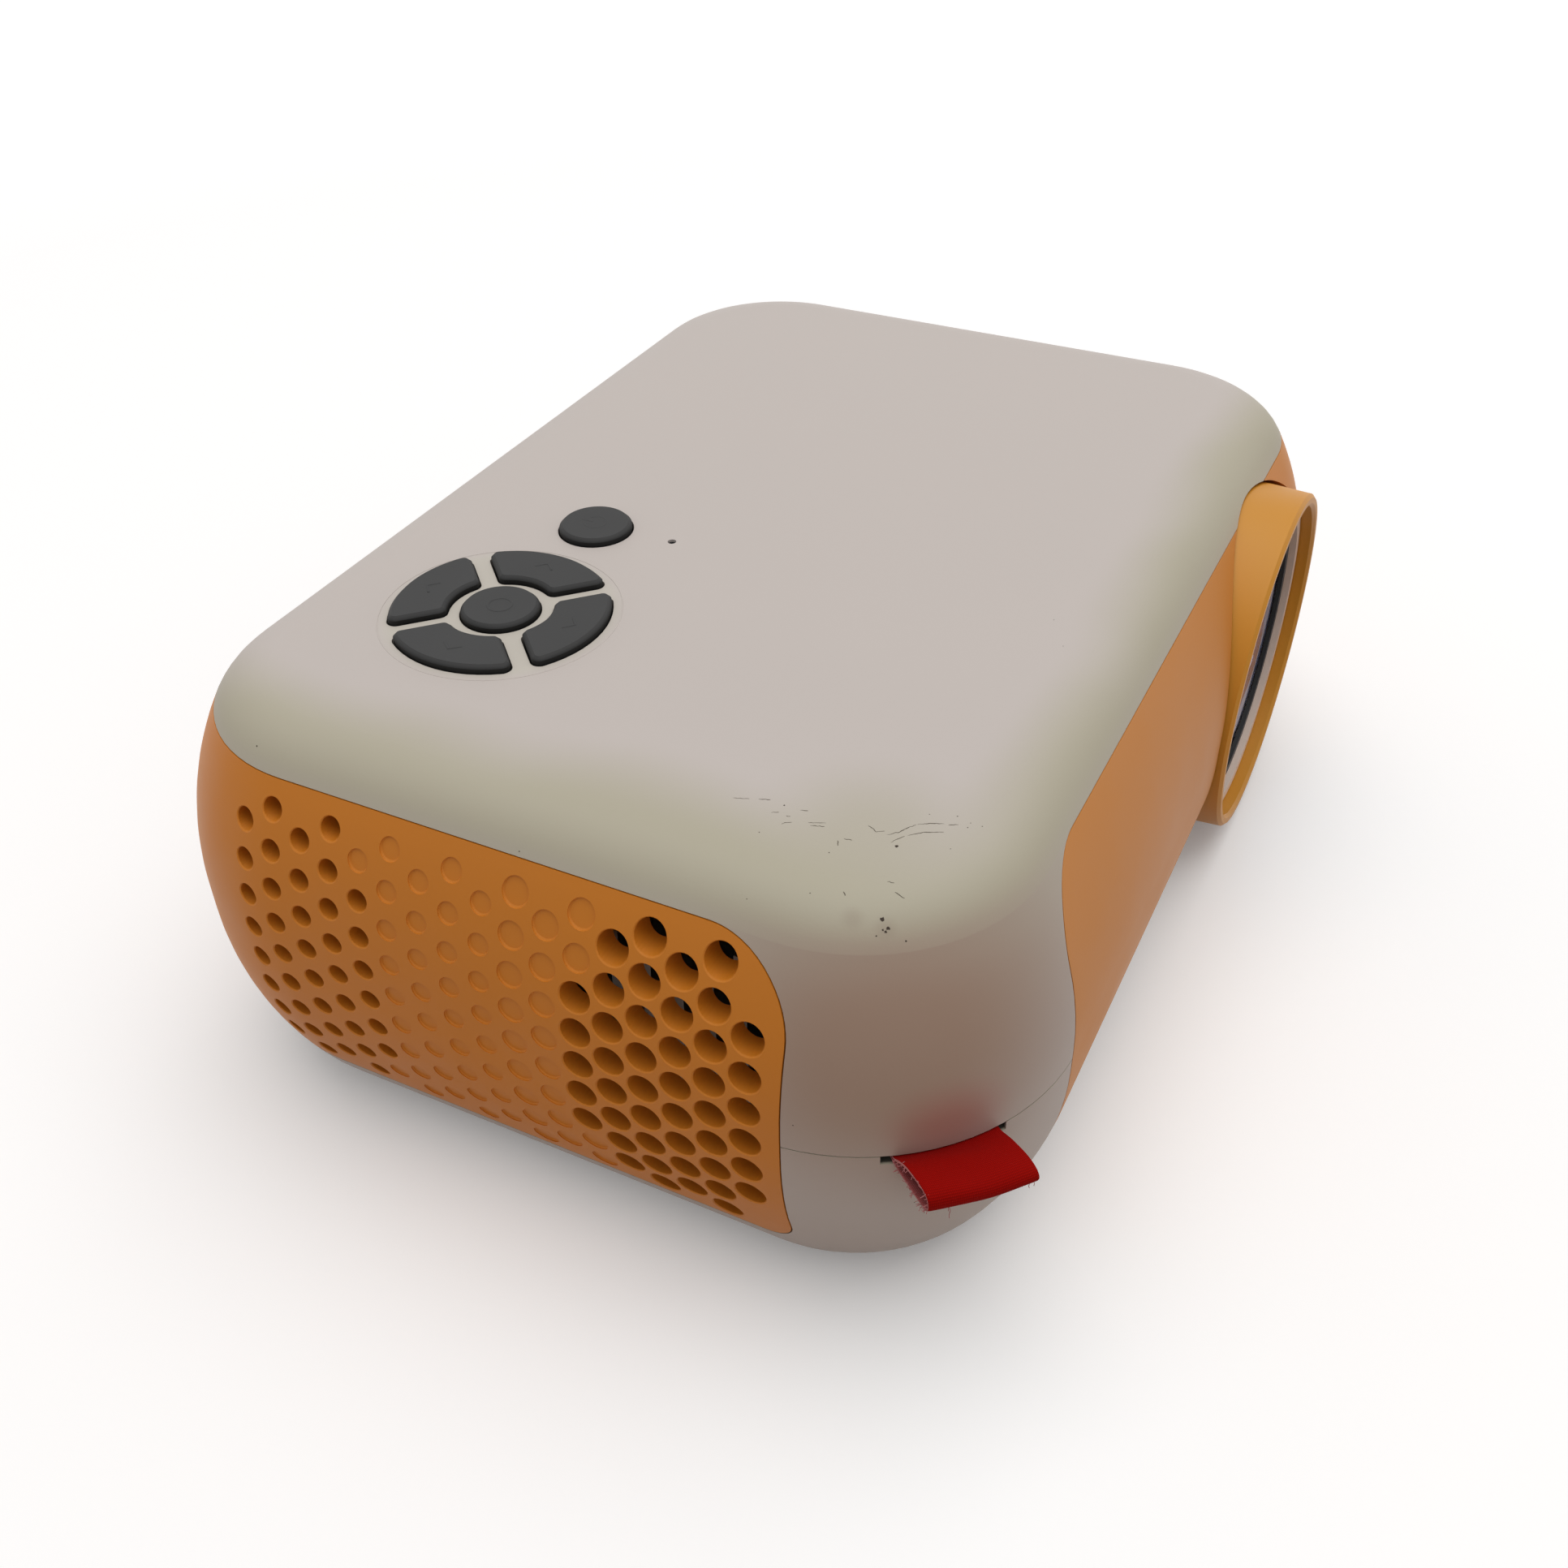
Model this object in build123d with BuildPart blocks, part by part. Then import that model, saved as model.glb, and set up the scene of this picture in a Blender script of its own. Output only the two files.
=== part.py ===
from build123d import *
from math import atan2, cos, degrees, radians, sin, sqrt
import os

# Palm-size LED projector. Lengths in millimetres, +Z up, lens facing -Y, perforated side facing -X.
# The origin is on the table, under the middle of the whole object.

# ---- Housing: a rounded box whose sides bulge like a barrel ----
body_width = 137.0
body_depth = 100.0
body_height = 48.0
corner_radius = 23.4  # of the plan, at mid height
bulge_run = 11.0  # how far the sides curve in towards the top and the base
edge_radius = 6.9  # where they turn into the flat top and base
straight_band = 3.0  # upright strip at mid height
wall = 2.4
parting_height = 24.2  # of the line between the two shells, above the base
seam = 0.15  # visible gap round each inlaid panel
foot_height = 1.2
foot_radius = 4.5
foot_recess = 0.8
foot_inset_x = 26.5  # of the middle of each foot from the sides
foot_inset_y = 26.0
parting_groove = 0.12  # fine shadow line round the parting
parting_groove_depth = 0.3

# ---- Wrap panels: each covers one side, one corner and one long face ----
panel_top = 44.6
panel_bottom = 6.2
wrap_inset_x = 21.7  # how far each panel's ends stop short of the body's sides
wrap_inset_y = 20.4
panel_top_radius = 9.0
panel_bottom_radius = 4.0

# ---- Perforated side: holes stand on an equilateral lattice, bored along X ----
lattice_pitch = 4.08
lattice_mid_height = 25.3
lattice_front = 25.98  # how far ahead of the middle the first column stands
lattice_rows = 17
large_hole_radius = 1.65
small_hole_radius = 1.15
hole_sides = 8  # each small hole is a polygon, for a light mesh
large_columns = range(1, 7)
small_columns = range(13, 18)
edge_columns = (1, 6, 13)  # these start three rows late and end three rows early
edge_start = 3
intake_hole_radius = 2.0
intake_pitch = 5.6
intake_rings = 2

# ---- Lens group ----
lens_inset = 37.9  # of the lens axis from the far side
lens_height = 23.1
ring_reach = 1.0  # of the focus ring, ahead of the body
ring_radius = 21.8
ring_root_radius = 22.2
ring_bore_radius = 20.3
ring_length = 7.8
ring_clearance = 0.3
ring_edge = 0.4
ring_flange = 1.5
running_clearance = 0.05
barrel_setback = 1.8  # of the lens barrel behind the rim of the ring
barrel_cup_radius = 20.0
barrel_mouth_radius = 18.6
barrel_cup_length = 3.9
barrel_tube_radius = 16.0
barrel_tube_wall = 1.4
barrel_length = 25.7
sleeve_wall = 1.45
sleeve_length = 21.2
sleeve_gap = 0.3  # between the cup of the barrel and the front end of the sleeve
mount_gap = 0.9  # of the flange of the lens mount above the floor, where the skin turns in
mount_flange_thickness = 2.0
lens_clearance = 0.05
barrel_cup_floor = 1.2
front_lens_edge = 1.0
front_lens_dome = 1.1
retainer_width = 1.2
retainer_thickness = 0.6
retainer_gap = 0.2
rear_lens_edge = 2.0
rear_lens_dome = 1.4
rear_lens_setback = 1.5  # ahead of the back end of the barrel
lens_cradle_width = 24.0
lens_cradle_depth = 4.0
lens_cradle_setback = 2.0  # behind the flange of the lens mount

# ---- Keys ----
pad_inset_x = 35.2  # of the middle of the pad from the near side
pad_inset_y = 29.25  # and from the rear
pad_radius = 11.9
pad_inner_radius = 5.8
pad_gap = 2.2
centre_key_radius = 4.24
power_gap = 3.8  # between the pad and the power key
power_shift = 0.2  # of the power key behind the middle of the pad
power_key_radius = 4.2
key_rise = 0.9
key_edge = 0.4
key_corner = 0.9
key_clearance = 0.2
key_travel = 0.4
key_flange = 0.5  # how far the retaining flange stands out round a key
key_flange_thickness = 0.8
key_stem_radius = 1.5
indicator_shift_x = 1.1  # of the indicator from the power key
indicator_shift_y = -9.45
indicator_radius = 0.5
pipe_clearance = 0.05
pipe_recess = 0.3

# ---- Key board ----
key_board_thickness = 1.2
key_board_drop = 8.4  # of its underside below the top
key_board_left_margin = 0.8  # beyond the keys
key_board_right_margin = 2.2
key_board_front_margin = 1.35
key_board_rear_margin = 1.85
switch_size = 6.0
switch_body = 2.1
switch_button = 1.0
switch_button_height = 0.4
key_board_post_inset = 2.5
key_board_post_radius = 1.8

# ---- Optical box ----
box_gap = 0.5  # behind the lens barrel
box_floor = 7.0
box_wall = 1.6
box_height = 30.6
box_cover = 1.4
lamp_gap = 2.8  # between the heat sink and the box
mirror_reach = 18.4  # of the box beyond the lens axis
box_half_width = 17.0
plate_clearance = 0.15
light_hole_radius = 13.0
mirror_thickness = 1.1
mirror_length = 41.0
filter_setback = 22.0  # from the lamp end of the box
filter_thickness = 1.1
lcd_gap = 9.0  # before the field lens
lcd_thickness = 2.6
lcd_window_width = 26.0
lcd_window_height = 20.0
lcd_recess = 0.4
field_setback = 25.6  # before the lens axis
field_thickness = 1.5
condenser_radius = 13.5
condenser_edge = 1.4
condenser_dome = 6.0
box_post_inset = 6.0  # from the lamp end of the box
box_post_span = 46.0
box_post_spread = 24.0
box_post_radius = 2.5

# ---- Lamp and heat sink ----
sink_gap = 2.9  # of the fins behind the near wall, where the skin turns in
fin_reach = 11.5
sink_base_thickness = 3.7
sink_length = 31.0
sink_shift = 5.0  # ahead of the light path
sink_rail = 4.8
sink_bottom = 6.5
sink_top = 39.6
fin_thickness = 1.1
fin_pitch = 3.32
fin_count = 10
led_board_size = 20.0
led_board_thickness = 1.6
led_size = 9.0
led_thickness = 0.9
led_dome_radius = 4.0
led_dome_rise = 1.1

# ---- Fan, at the far side ----
fan_size = 40.0
fan_depth = 10.0
fan_gap = 15.3  # of its inner face from the far wall, where the skin turns in
fan_y = 8.0
fan_height = 24.2
fan_bore = 18.9
fan_hub_radius = 9.0
fan_motor_radius = 9.6
fan_tip_clearance = 1.1
fan_blades = 7
fan_blade_thickness = 0.9
fan_shaft_radius = 1.0
fan_motor_plate = 1.6
fan_hub_wall = 0.8
fan_hub_gap = 0.5
fan_bearing_radius = 2.5
fan_chord = 8.5
fan_pitch = 38.0
fan_strut_width = 2.4
fan_hole_radius = 1.75
fan_hole_inset = 4.0
fan_rail = 1.6
fan_rail_width = 20.0

# ---- Speaker, behind the small holes ----
speaker_radius = 12.5
speaker_y = 18.0
speaker_inset = 6.9  # of its face from the near side
speaker_rim = 1.4
speaker_depth = 9.0
speaker_magnet_radius = 7.5
speaker_magnet = 3.6
speaker_cone_sag = 2.4
cradle_thickness = 2.2
cradle_width = 18.8
cradle_height = 16.8
cradle_clearance = 0.15

# ---- Main board and sockets ----
board_height = 18.0
board_thickness = 1.6
board_width = 74.0
board_depth = 26.5
board_shift = 3.0  # towards the far side
board_setback = 5.0  # from the rear
board_post_inset = 4.0
board_post_radius = 2.6
socket_recess = 1.0  # of the socket mouths behind the widest line of the rear
socket_gap = 0.15
hdmi_x = 14.0
hdmi_width = 15.0
hdmi_height = 5.7
hdmi_depth = 11.0
usb_x = -4.0
usb_width = 13.2
usb_height = 5.8
usb_depth = 14.0
metal = 0.4
jack_x = -19.0
jack_width = 7.0
jack_height = 6.0
jack_depth = 12.0
jack_bore = 1.78
dc_x = 31.0
dc_width = 9.0
dc_height = 10.0
dc_depth = 12.5
dc_bore = 2.85
dc_pin = 0.95
card_x = -30.0
card_width = 12.0
card_height = 1.9
card_depth = 13.0
bushing_radius = 4.2  # of the power inlet
jack_bushing_radius = 2.9
bushing_setback = 0.3
body_gap = 0.6  # of the inlet and jack bodies behind the rear wall
window_x = 41.5
window_radius = 2.2
window_length = 3.4
window_depth = 3.4  # of its inner end behind the rear
# chips: x, distance behind the board's front edge, width, depth, height; capacitors: x and that distance
chips = [(4.0, 7.5, 13.0, 13.0, 1.4), (-12.0, 6.5, 8.0, 6.0, 1.1), (18.0, 6.5, 6.5, 6.5, 3.0)]
capacitors = [(28.0, 6.5), (-24.0, 11.5)]
capacitor_radius = 3.2
capacitor_height = 7.5

# ---- Fasteners: posts are given as hand along X, hand along Y, and the distance from each side ----
screw_places = [(-1, -1, 18.5, 17.0), (1, -1, 15.5, 20.0), (-1, 1, 18.5, 15.5), (1, 1, 18.5, 16.5)]
post_radius = 3.5
post_split = 20.0  # height where an upper post meets a lower one
screw_radius = 1.2
screw_head_radius = 2.4
screw_head_height = 1.5
screw_sink = 4.0
screw_length = 26.0
thread_radius = 2.55  # quarter-inch camera thread, minor radius
insert_radius = 4.5
insert_length = 6.8
insert_bore_depth = 6.0
insert_boss_radius = 6.8

# ---- Fabric tag ----
tag_width = 10.8
tag_cloth = 0.35
tag_root_gap = 0.1
tag_reach = 7.0
tag_droop = 1.1
tag_loop_radius = 0.7
tag_hold = 2.5  # how far the tag runs on inside the wall
tag_clearance = 0.1
tag_slot_margin = 0.8  # of the slot beyond each side of the tag

# ---- Datums worked out from the sizes above ----
tag_end = corner_radius + tag_reach
tag_corner = sqrt(0.5) * (tag_end + tag_width / 2)  # from a corner's middle to the tag's furthest edge
base = foot_height
corner_x = body_width / 2 - corner_radius
corner_y = body_depth / 2 - corner_radius
mid_x = (corner_x + tag_corner - body_width / 2) / 2  # the tag's reach sets the middle of the whole object
mid_y = (corner_y + tag_corner - body_depth / 2) / 2
top = base + body_height
near_side = -body_width / 2
far_side = body_width / 2
front = mid_y - body_depth / 2
rear = mid_y + body_depth / 2
bulge_rise = (body_height - straight_band) / 2
side_radius = (bulge_run**2 + bulge_rise**2 - 2 * bulge_rise * edge_radius) / (2 * (bulge_run - edge_radius))
side_turn = degrees(atan2(bulge_rise - edge_radius, side_radius - bulge_run))
parting = base + parting_height
far = body_width  # beyond every face of the body
wrap_end_x = body_width / 2 - wrap_inset_x
wrap_end_y = body_depth / 2 - wrap_inset_y
screw_posts = [(i * (body_width / 2 - x), j * (body_depth / 2 - y)) for i, j, x, y in screw_places]
foot_x = body_width / 2 - foot_inset_x
foot_y = body_depth / 2 - foot_inset_y
deck_under = top - wall
turned_wall = 1.5 * wall  # measured level, where the skin turns in towards the top and the base
lens_x = far_side - lens_inset
lens_z = base + lens_height
rim = front - ring_reach
ring_back = rim + ring_length
opening_radius = ring_root_radius + ring_clearance
opening_back = ring_back + 2 * ring_clearance
barrel_front = rim + barrel_setback
mount_flange_radius = lens_height - turned_wall - mount_gap
cup_back = barrel_front + barrel_cup_length
cup_floor = cup_back - barrel_cup_floor
barrel_back = barrel_front + barrel_length
sleeve_front = cup_back + sleeve_gap
sleeve_radius = barrel_tube_radius + running_clearance + sleeve_wall
box_y = barrel_back + box_gap + box_half_width
box_low = base + box_floor
box_rim = box_low + box_height
plate_low = box_low + box_wall + plate_clearance
plate_height = box_height - box_wall - 2 * plate_clearance
plate_width = 2 * (box_half_width - box_wall - plate_clearance)
sink_left = near_side + turned_wall + sink_gap
sink_base_right = sink_left + fin_reach + sink_base_thickness
box_left = sink_base_right + lamp_gap
box_right = lens_x + mirror_reach
filter_x = box_left + filter_setback
field_x = lens_x - field_setback
lcd_x = field_x - lcd_gap
sink_low = base + sink_bottom
sink_high = base + sink_top
sink_middle = box_y - sink_shift
fan_left = far_side - turned_wall - fan_gap
fan_z = base + fan_height
speaker_face = near_side + speaker_inset
fan_right = fan_left + fan_depth
board_rear = rear - board_setback
board_front = board_rear - board_depth
board_left = board_shift - board_width / 2
board_right = board_shift + board_width / 2
board_top = base + board_height + board_thickness
socket_face = rear - socket_recess
body_setback = wall + body_gap
jack_z = board_top + jack_height / 2
dc_z = board_top + dc_height / 2
window_z = base + body_height / 2
pad_x = near_side + pad_inset_x
pad_y = body_depth / 2 - pad_inset_y
power_x = pad_x + pad_radius + power_gap + power_key_radius
power_y = pad_y + power_shift
indicator_x = power_x + indicator_shift_x
indicator_y = power_y + indicator_shift_y
key_board_left = pad_x - pad_radius - key_board_left_margin
key_board_right = power_x + power_key_radius + key_board_right_margin
key_board_front = pad_y - pad_radius - key_board_front_margin
key_board_rear = pad_y + pad_radius + key_board_rear_margin
key_board_low = top - key_board_drop
key_board_top = key_board_low + key_board_thickness
switch_top = key_board_top + switch_body + switch_button_height
stem_bottom = switch_top + key_travel + running_clearance
flange_top = deck_under - key_clearance
flange_bottom = flange_top - key_flange_thickness
tag_top = -tag_clearance
tag_root = 2 * tag_cloth + tag_root_gap
tag_start = corner_radius - wall - tag_hold


def spots(places):
    """Plan positions given from the middle of the body."""
    return [(x, mid_y + y) for x, y in places]


def upright(x, y, z):
    """Upright plane at a point, facing forwards: local X is the width, local Y the height."""
    return Plane((x, y, z), x_dir=(1, 0, 0), z_dir=(0, -1, 0))


def sideways(x, y, z):
    """Upright plane at a point, facing the far side: local X is the depth, local Y the height."""
    return Plane((x, y, z), x_dir=(0, 1, 0), z_dir=(1, 0, 0))


def lens_turning():
    """Level plane through the lens axis: local X is the radius, local Y the position along it."""
    return Plane((lens_x, 0, lens_z))


lens_axis = Axis((lens_x, 0, lens_z), (0, 1, 0))


def dome(radius, edge, rise):
    """Face of a lens, from its edge to its crown on the axis, in three fine steps of its arc."""
    places = [(radius * (1 - step / 3), edge + rise * (1 - (1 - step / 3) ** 2)) for step in range(4)]
    Polyline(*places)


def write(part, label):
    """Set a finished piece over the middle of the table, name it and write it."""
    placed = part.moved(Location((mid_x, 0, 0)))
    placed.label = label
    export_step(placed, f"parts/{label}.step")


def barrel_face(core, inset):
    """Upright outline from the local Y axis out to the bulging edge, whose curves start at core.
    The inner skin, which is set in, takes chords of the same curves."""
    kept = Mode.PRIVATE if inset else Mode.ADD
    with BuildLine() as outline:
        floor_line = Line((0, base + inset), (core, base + inset), mode=kept)
        low_edge = JernArc(floor_line @ 1, (1, 0), edge_radius - inset, 90 - side_turn, mode=kept)
        low_side = JernArc(low_edge @ 1, low_edge % 1, side_radius - inset, side_turn, mode=kept)
        band = Line(low_side @ 1, low_side @ 1 + Vector(0, straight_band), mode=kept)
        high_side = JernArc(band @ 1, (0, 1), side_radius - inset, side_turn, mode=kept)
        high_edge = JernArc(high_side @ 1, high_side % 1, edge_radius - inset, 90 - side_turn, mode=kept)
        roof_line = Line(high_edge @ 1, (0, top - inset), mode=kept)
        Line(roof_line @ 1, floor_line @ 0, mode=kept)
        if inset:
            low_bend = (floor_line @ 0, floor_line @ 1, low_edge @ 1, low_side @ 0.5, low_side @ 1)
            high_bend = (high_side @ 0, high_side @ 0.5, high_side @ 1, roof_line @ 0, roof_line @ 1)
            Polyline(*low_bend, *high_bend, close=True)
    make_face(outline.edges())


def barrel(inset):
    """The body's outer form, moved in by inset: four bulging sides and four turned corners."""
    with BuildPart() as form:
        for side in (1, -1):
            with BuildSketch(Plane((0, mid_y, 0), x_dir=(side, 0, 0), z_dir=(0, -side, 0))):
                barrel_face(body_width / 2 - bulge_run, inset)
            extrude(amount=corner_y, both=True)
            with BuildSketch(Plane((0, mid_y, 0), x_dir=(0, side, 0), z_dir=(side, 0, 0))):
                barrel_face(body_depth / 2 - bulge_run, inset)
            extrude(amount=corner_x, both=True)
            for end in (1, -1):
                corner = (side * corner_x, mid_y + end * corner_y, 0)
                with BuildSketch(Plane(corner, x_dir=(side, 0, 0), z_dir=(0, -side, 0))):
                    barrel_face(corner_radius - bulge_run, inset)
                revolve(axis=Axis(corner, (0, 0, side * end)), revolution_arc=90)
    return form.part


def wrap_outline(start, hand):
    """Side view of one wrap panel's end: open towards hand, with rounded corners at start."""
    low = base + panel_bottom
    high = base + panel_top
    with BuildLine() as outline:
        Line((start + hand * panel_top_radius, high), (hand * far, high))
        Line((hand * far, high), (hand * far, low))
        Line((hand * far, low), (start + hand * panel_bottom_radius, low))
        JernArc((start + hand * panel_bottom_radius, low), (-hand, 0), panel_bottom_radius, -hand * 90)
        Line((start, low + panel_bottom_radius), (start, high - panel_top_radius))
        JernArc((start, high - panel_top_radius), (0, 1), panel_top_radius, -hand * 90)
    make_face(outline.edges())


def wrap_space(hand, shrink):
    """The space of a wrap panel: hand 1 holds the front and far side, -1 the rear and near side."""
    with BuildPart() as space:
        with BuildSketch(upright(0, 0, 0)):
            wrap_outline(-hand * wrap_end_x, hand)
            if shrink:
                offset(amount=-shrink)
        extrude(amount=far, both=True)
        with BuildSketch(sideways(0, 0, 0)):
            wrap_outline(mid_y + hand * wrap_end_y, -hand)
            if shrink:
                offset(amount=-shrink)
        extrude(amount=far, both=True, mode=Mode.INTERSECT)
    return space.part


os.makedirs("parts", exist_ok=True)

hollow = barrel(0) - barrel(wall)
shell_wall = hollow - wrap_space(1, 0) - wrap_space(-1, 0)
cavity = barrel(wall)

# ---- Key outlines, shared by the keys and their openings ----
quarter_keys = {"right_key": 0, "up_key": 90, "left_key": 180, "down_key": 270}
key_names = list(quarter_keys) + ["centre_key", "power_key"]
stem_reach = (pad_radius + pad_inner_radius) / 2


def quarter_key(turn, grow):
    """One of four arc keys: a quarter ring less half a gap at each end."""
    reach = 2 * pad_radius
    edge = sqrt(0.5) * pad_gap
    with BuildSketch(Plane((pad_x, mid_y + pad_y, 0))) as outline:
        Circle(pad_radius)
        Circle(pad_inner_radius, mode=Mode.SUBTRACT)
        with BuildLine():
            Polyline((edge, 0), (edge + reach, reach), (edge + reach, -reach), close=True)
        make_face(mode=Mode.INTERSECT)
        fillet(outline.vertices(), key_corner)
        if grow:
            offset(amount=grow)
    return outline.sketch.rotate(Axis((pad_x, mid_y + pad_y, 0), (0, 0, 1)), turn)


def round_key(x, y, radius):
    """A round key."""
    with BuildSketch(Plane((x, mid_y + y, 0))) as outline:
        Circle(radius)
    return outline.sketch


def key_outline(name, grow):
    """The plan of the named key, grown all round, on the table plane."""
    if name == "centre_key":
        return round_key(pad_x, pad_y, centre_key_radius + grow)
    if name == "power_key":
        return round_key(power_x, power_y, power_key_radius + grow)
    return quarter_key(quarter_keys[name], grow)


def key_middle(name):
    """Plan position of the stem under the named key."""
    if name == "centre_key":
        return (pad_x, mid_y + pad_y)
    if name == "power_key":
        return (power_x, mid_y + power_y)
    turn = radians(quarter_keys[name])
    return (pad_x + stem_reach * cos(turn), mid_y + pad_y + stem_reach * sin(turn))


# ---- Top shell: deck, upper half of two corner columns, key openings and posts ----
board_x = (key_board_left + key_board_right) / 2
board_y = mid_y + (key_board_front + key_board_rear) / 2
board_span = key_board_right - key_board_left - 2 * key_board_post_inset
board_reach = key_board_rear - key_board_front - 2 * key_board_post_inset
with BuildPart() as upper_posts:
    with BuildSketch(Plane.XY.offset(key_board_top)):
        with Locations((board_x, board_y)):
            with GridLocations(board_span, board_reach, 2, 2):
                Circle(key_board_post_radius)
    extrude(amount=top - key_board_top)
    with BuildSketch(Plane.XY.offset(base + post_split)):
        with Locations(*spots(screw_posts)):
            Circle(post_radius)
    extrude(amount=body_height - post_split)
    add(cavity, mode=Mode.INTERSECT)

with BuildPart() as top_shell:
    add(shell_wall)
    split(bisect_by=Plane.XY.offset(parting))
    with BuildSketch(Plane.XY.offset(parting)):
        with Locations((0, mid_y)):
            Rectangle(2 * body_width, 2 * body_depth)
            groove = RectangleRounded(body_width, body_depth, corner_radius, mode=Mode.PRIVATE)
            offset(groove, amount=-parting_groove_depth, mode=Mode.SUBTRACT)
    extrude(amount=parting_groove, mode=Mode.SUBTRACT)
    add(upper_posts.part)
    with BuildSketch(upright(lens_x, opening_back, lens_z)):
        Circle(opening_radius)
    extrude(amount=far, mode=Mode.SUBTRACT)
    for name in key_names:
        opening = key_outline(name, key_clearance).moved(Location((0, 0, deck_under - wall)))
        extrude(opening, amount=3 * wall, mode=Mode.SUBTRACT)
    with BuildSketch(Plane.XY.offset(deck_under - wall)):
        with Locations(*spots([(indicator_x, indicator_y)])):
            Circle(indicator_radius)
    extrude(amount=3 * wall, mode=Mode.SUBTRACT)
    with BuildSketch(Plane.XY.offset(base + post_split)):
        with Locations(*spots(screw_posts)):
            Circle(screw_radius + running_clearance)
    extrude(amount=screw_length, mode=Mode.SUBTRACT)
write(top_shell.part, "top_shell")

# ---- Bottom shell: base, lower half of two corner columns, posts, rails and cradles ----
with BuildPart() as lower_ribs:
    with BuildSketch(Plane.XY.offset(base)):
        with Locations(*spots(screw_posts)):
            Circle(post_radius)
    extrude(amount=post_split)
    with BuildSketch(Plane.XY.offset(base)):
        with Locations((board_shift, (board_front + board_rear) / 2)):
            with GridLocations(board_width - 2 * board_post_inset, board_depth - 2 * board_post_inset, 2, 2):
                Circle(board_post_radius)
    extrude(amount=board_height)
    with BuildSketch(Plane.XY.offset(base)):
        with Locations((box_left + box_post_inset + box_post_span / 2, box_y)):
            with GridLocations(box_post_span, box_post_spread, 2, 2):
                Circle(box_post_radius)
    extrude(amount=box_floor)
    with BuildSketch(Plane.XY.offset(base)):
        with Locations((sink_left + sink_rail, sink_middle)):
            with GridLocations(0, sink_length / 2, 1, 2):
                Rectangle(sink_rail, sink_rail)
    extrude(amount=sink_bottom)
    with BuildSketch(Plane.XY.offset(base)):
        with Locations((fan_left + fan_depth / 2, mid_y + fan_y)):
            Rectangle(fan_depth + 2 * (seam + fan_rail), fan_rail_width)
    extrude(amount=fan_height - fan_size / 2 + 2 * fan_rail)
    with BuildSketch(Plane.XY.offset(fan_z - fan_size / 2 - seam)):
        with Locations((fan_left + fan_depth / 2, mid_y + fan_y)):
            Rectangle(fan_depth + 2 * seam, fan_size)
    extrude(amount=fan_size, mode=Mode.SUBTRACT)
    with BuildSketch(Plane.XY.offset(base)):
        with Locations((speaker_face + speaker_rim / 2, mid_y + speaker_y)):
            Rectangle(cradle_thickness, cradle_width)
    extrude(amount=cradle_height)
    with BuildSketch(sideways(speaker_face - cradle_thickness, mid_y + speaker_y, lens_z)):
        Circle(speaker_radius + cradle_clearance)
    extrude(amount=speaker_depth, mode=Mode.SUBTRACT)
    cradle_y = opening_back + mount_flange_thickness + lens_cradle_setback
    with BuildSketch(Plane.XY.offset(base)):
        with Locations((lens_x, cradle_y + lens_cradle_depth / 2)):
            Rectangle(lens_cradle_width, lens_cradle_depth)
    extrude(amount=lens_height - sleeve_radius / 2)
    with BuildSketch(upright(lens_x, cradle_y + 2 * lens_cradle_depth, lens_z)):
        Circle(sleeve_radius + cradle_clearance)
    extrude(amount=4 * lens_cradle_depth, mode=Mode.SUBTRACT)
    with BuildSketch(Plane.XY.offset(base)):
        with Locations((0, mid_y)):
            Circle(insert_boss_radius)
    extrude(amount=insert_length)
    add(cavity, mode=Mode.INTERSECT)

with BuildPart() as bottom_shell:
    add(shell_wall)
    split(bisect_by=Plane.XY.offset(parting), keep=Keep.BOTTOM)
    add(lower_ribs.part)
    with BuildSketch(upright(lens_x, opening_back, lens_z)):
        Circle(opening_radius)
    extrude(amount=far, mode=Mode.SUBTRACT)
    with BuildSketch(Plane.XY.offset(base)):
        with Locations(*spots(screw_posts)):
            Circle(screw_head_radius + key_clearance)
    extrude(amount=screw_sink, mode=Mode.SUBTRACT)
    with BuildSketch(Plane.XY.offset(base)):
        with Locations(*spots(screw_posts)):
            Circle(screw_radius + running_clearance)
    extrude(amount=post_split, mode=Mode.SUBTRACT)
    with BuildSketch(Plane.XY.offset(base)):
        with Locations((0, mid_y)):
            with GridLocations(2 * foot_x, 2 * foot_y, 2, 2):
                Circle(foot_radius + seam)
    extrude(amount=foot_recess, mode=Mode.SUBTRACT)
    with BuildSketch(Plane.XY.offset(base)):
        with Locations((0, mid_y)):
            Circle(insert_radius + running_clearance)
    extrude(amount=body_height / 2, mode=Mode.SUBTRACT)
    slot_length = tag_end - tag_start
    slot_height = tag_root + 2 * tag_clearance
    with BuildSketch(
        Plane((-corner_x, mid_y - corner_y, parting), x_dir=(-1, -1, 0), z_dir=(-1, 1, 0))
    ):
        with Locations((tag_start - tag_clearance + slot_length / 2, -slot_height / 2)):
            Rectangle(slot_length, slot_height)
    extrude(amount=tag_width / 2 + tag_slot_margin, both=True, mode=Mode.SUBTRACT)
write(bottom_shell.part, "bottom_shell")

# ---- Front panel: wraps the front-right corner, with the lens opening and the fan intake ----
with BuildPart() as front_panel:
    add(hollow)
    add(wrap_space(1, seam), mode=Mode.INTERSECT)
    with BuildSketch(upright(lens_x, opening_back, lens_z)):
        Circle(opening_radius)
    extrude(amount=far, mode=Mode.SUBTRACT)
    with BuildSketch(sideways(corner_x, mid_y + fan_y, fan_z)):
        for row in range(-intake_rings, intake_rings + 1):
            with Locations((0, intake_pitch * sin(radians(60)) * row)):
                with GridLocations(intake_pitch, 0, 2 * intake_rings + 1 - abs(row), 1):
                    RegularPolygon(intake_hole_radius, hole_sides)
    extrude(amount=far, mode=Mode.SUBTRACT)
write(front_panel.part, "front_panel")

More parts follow.
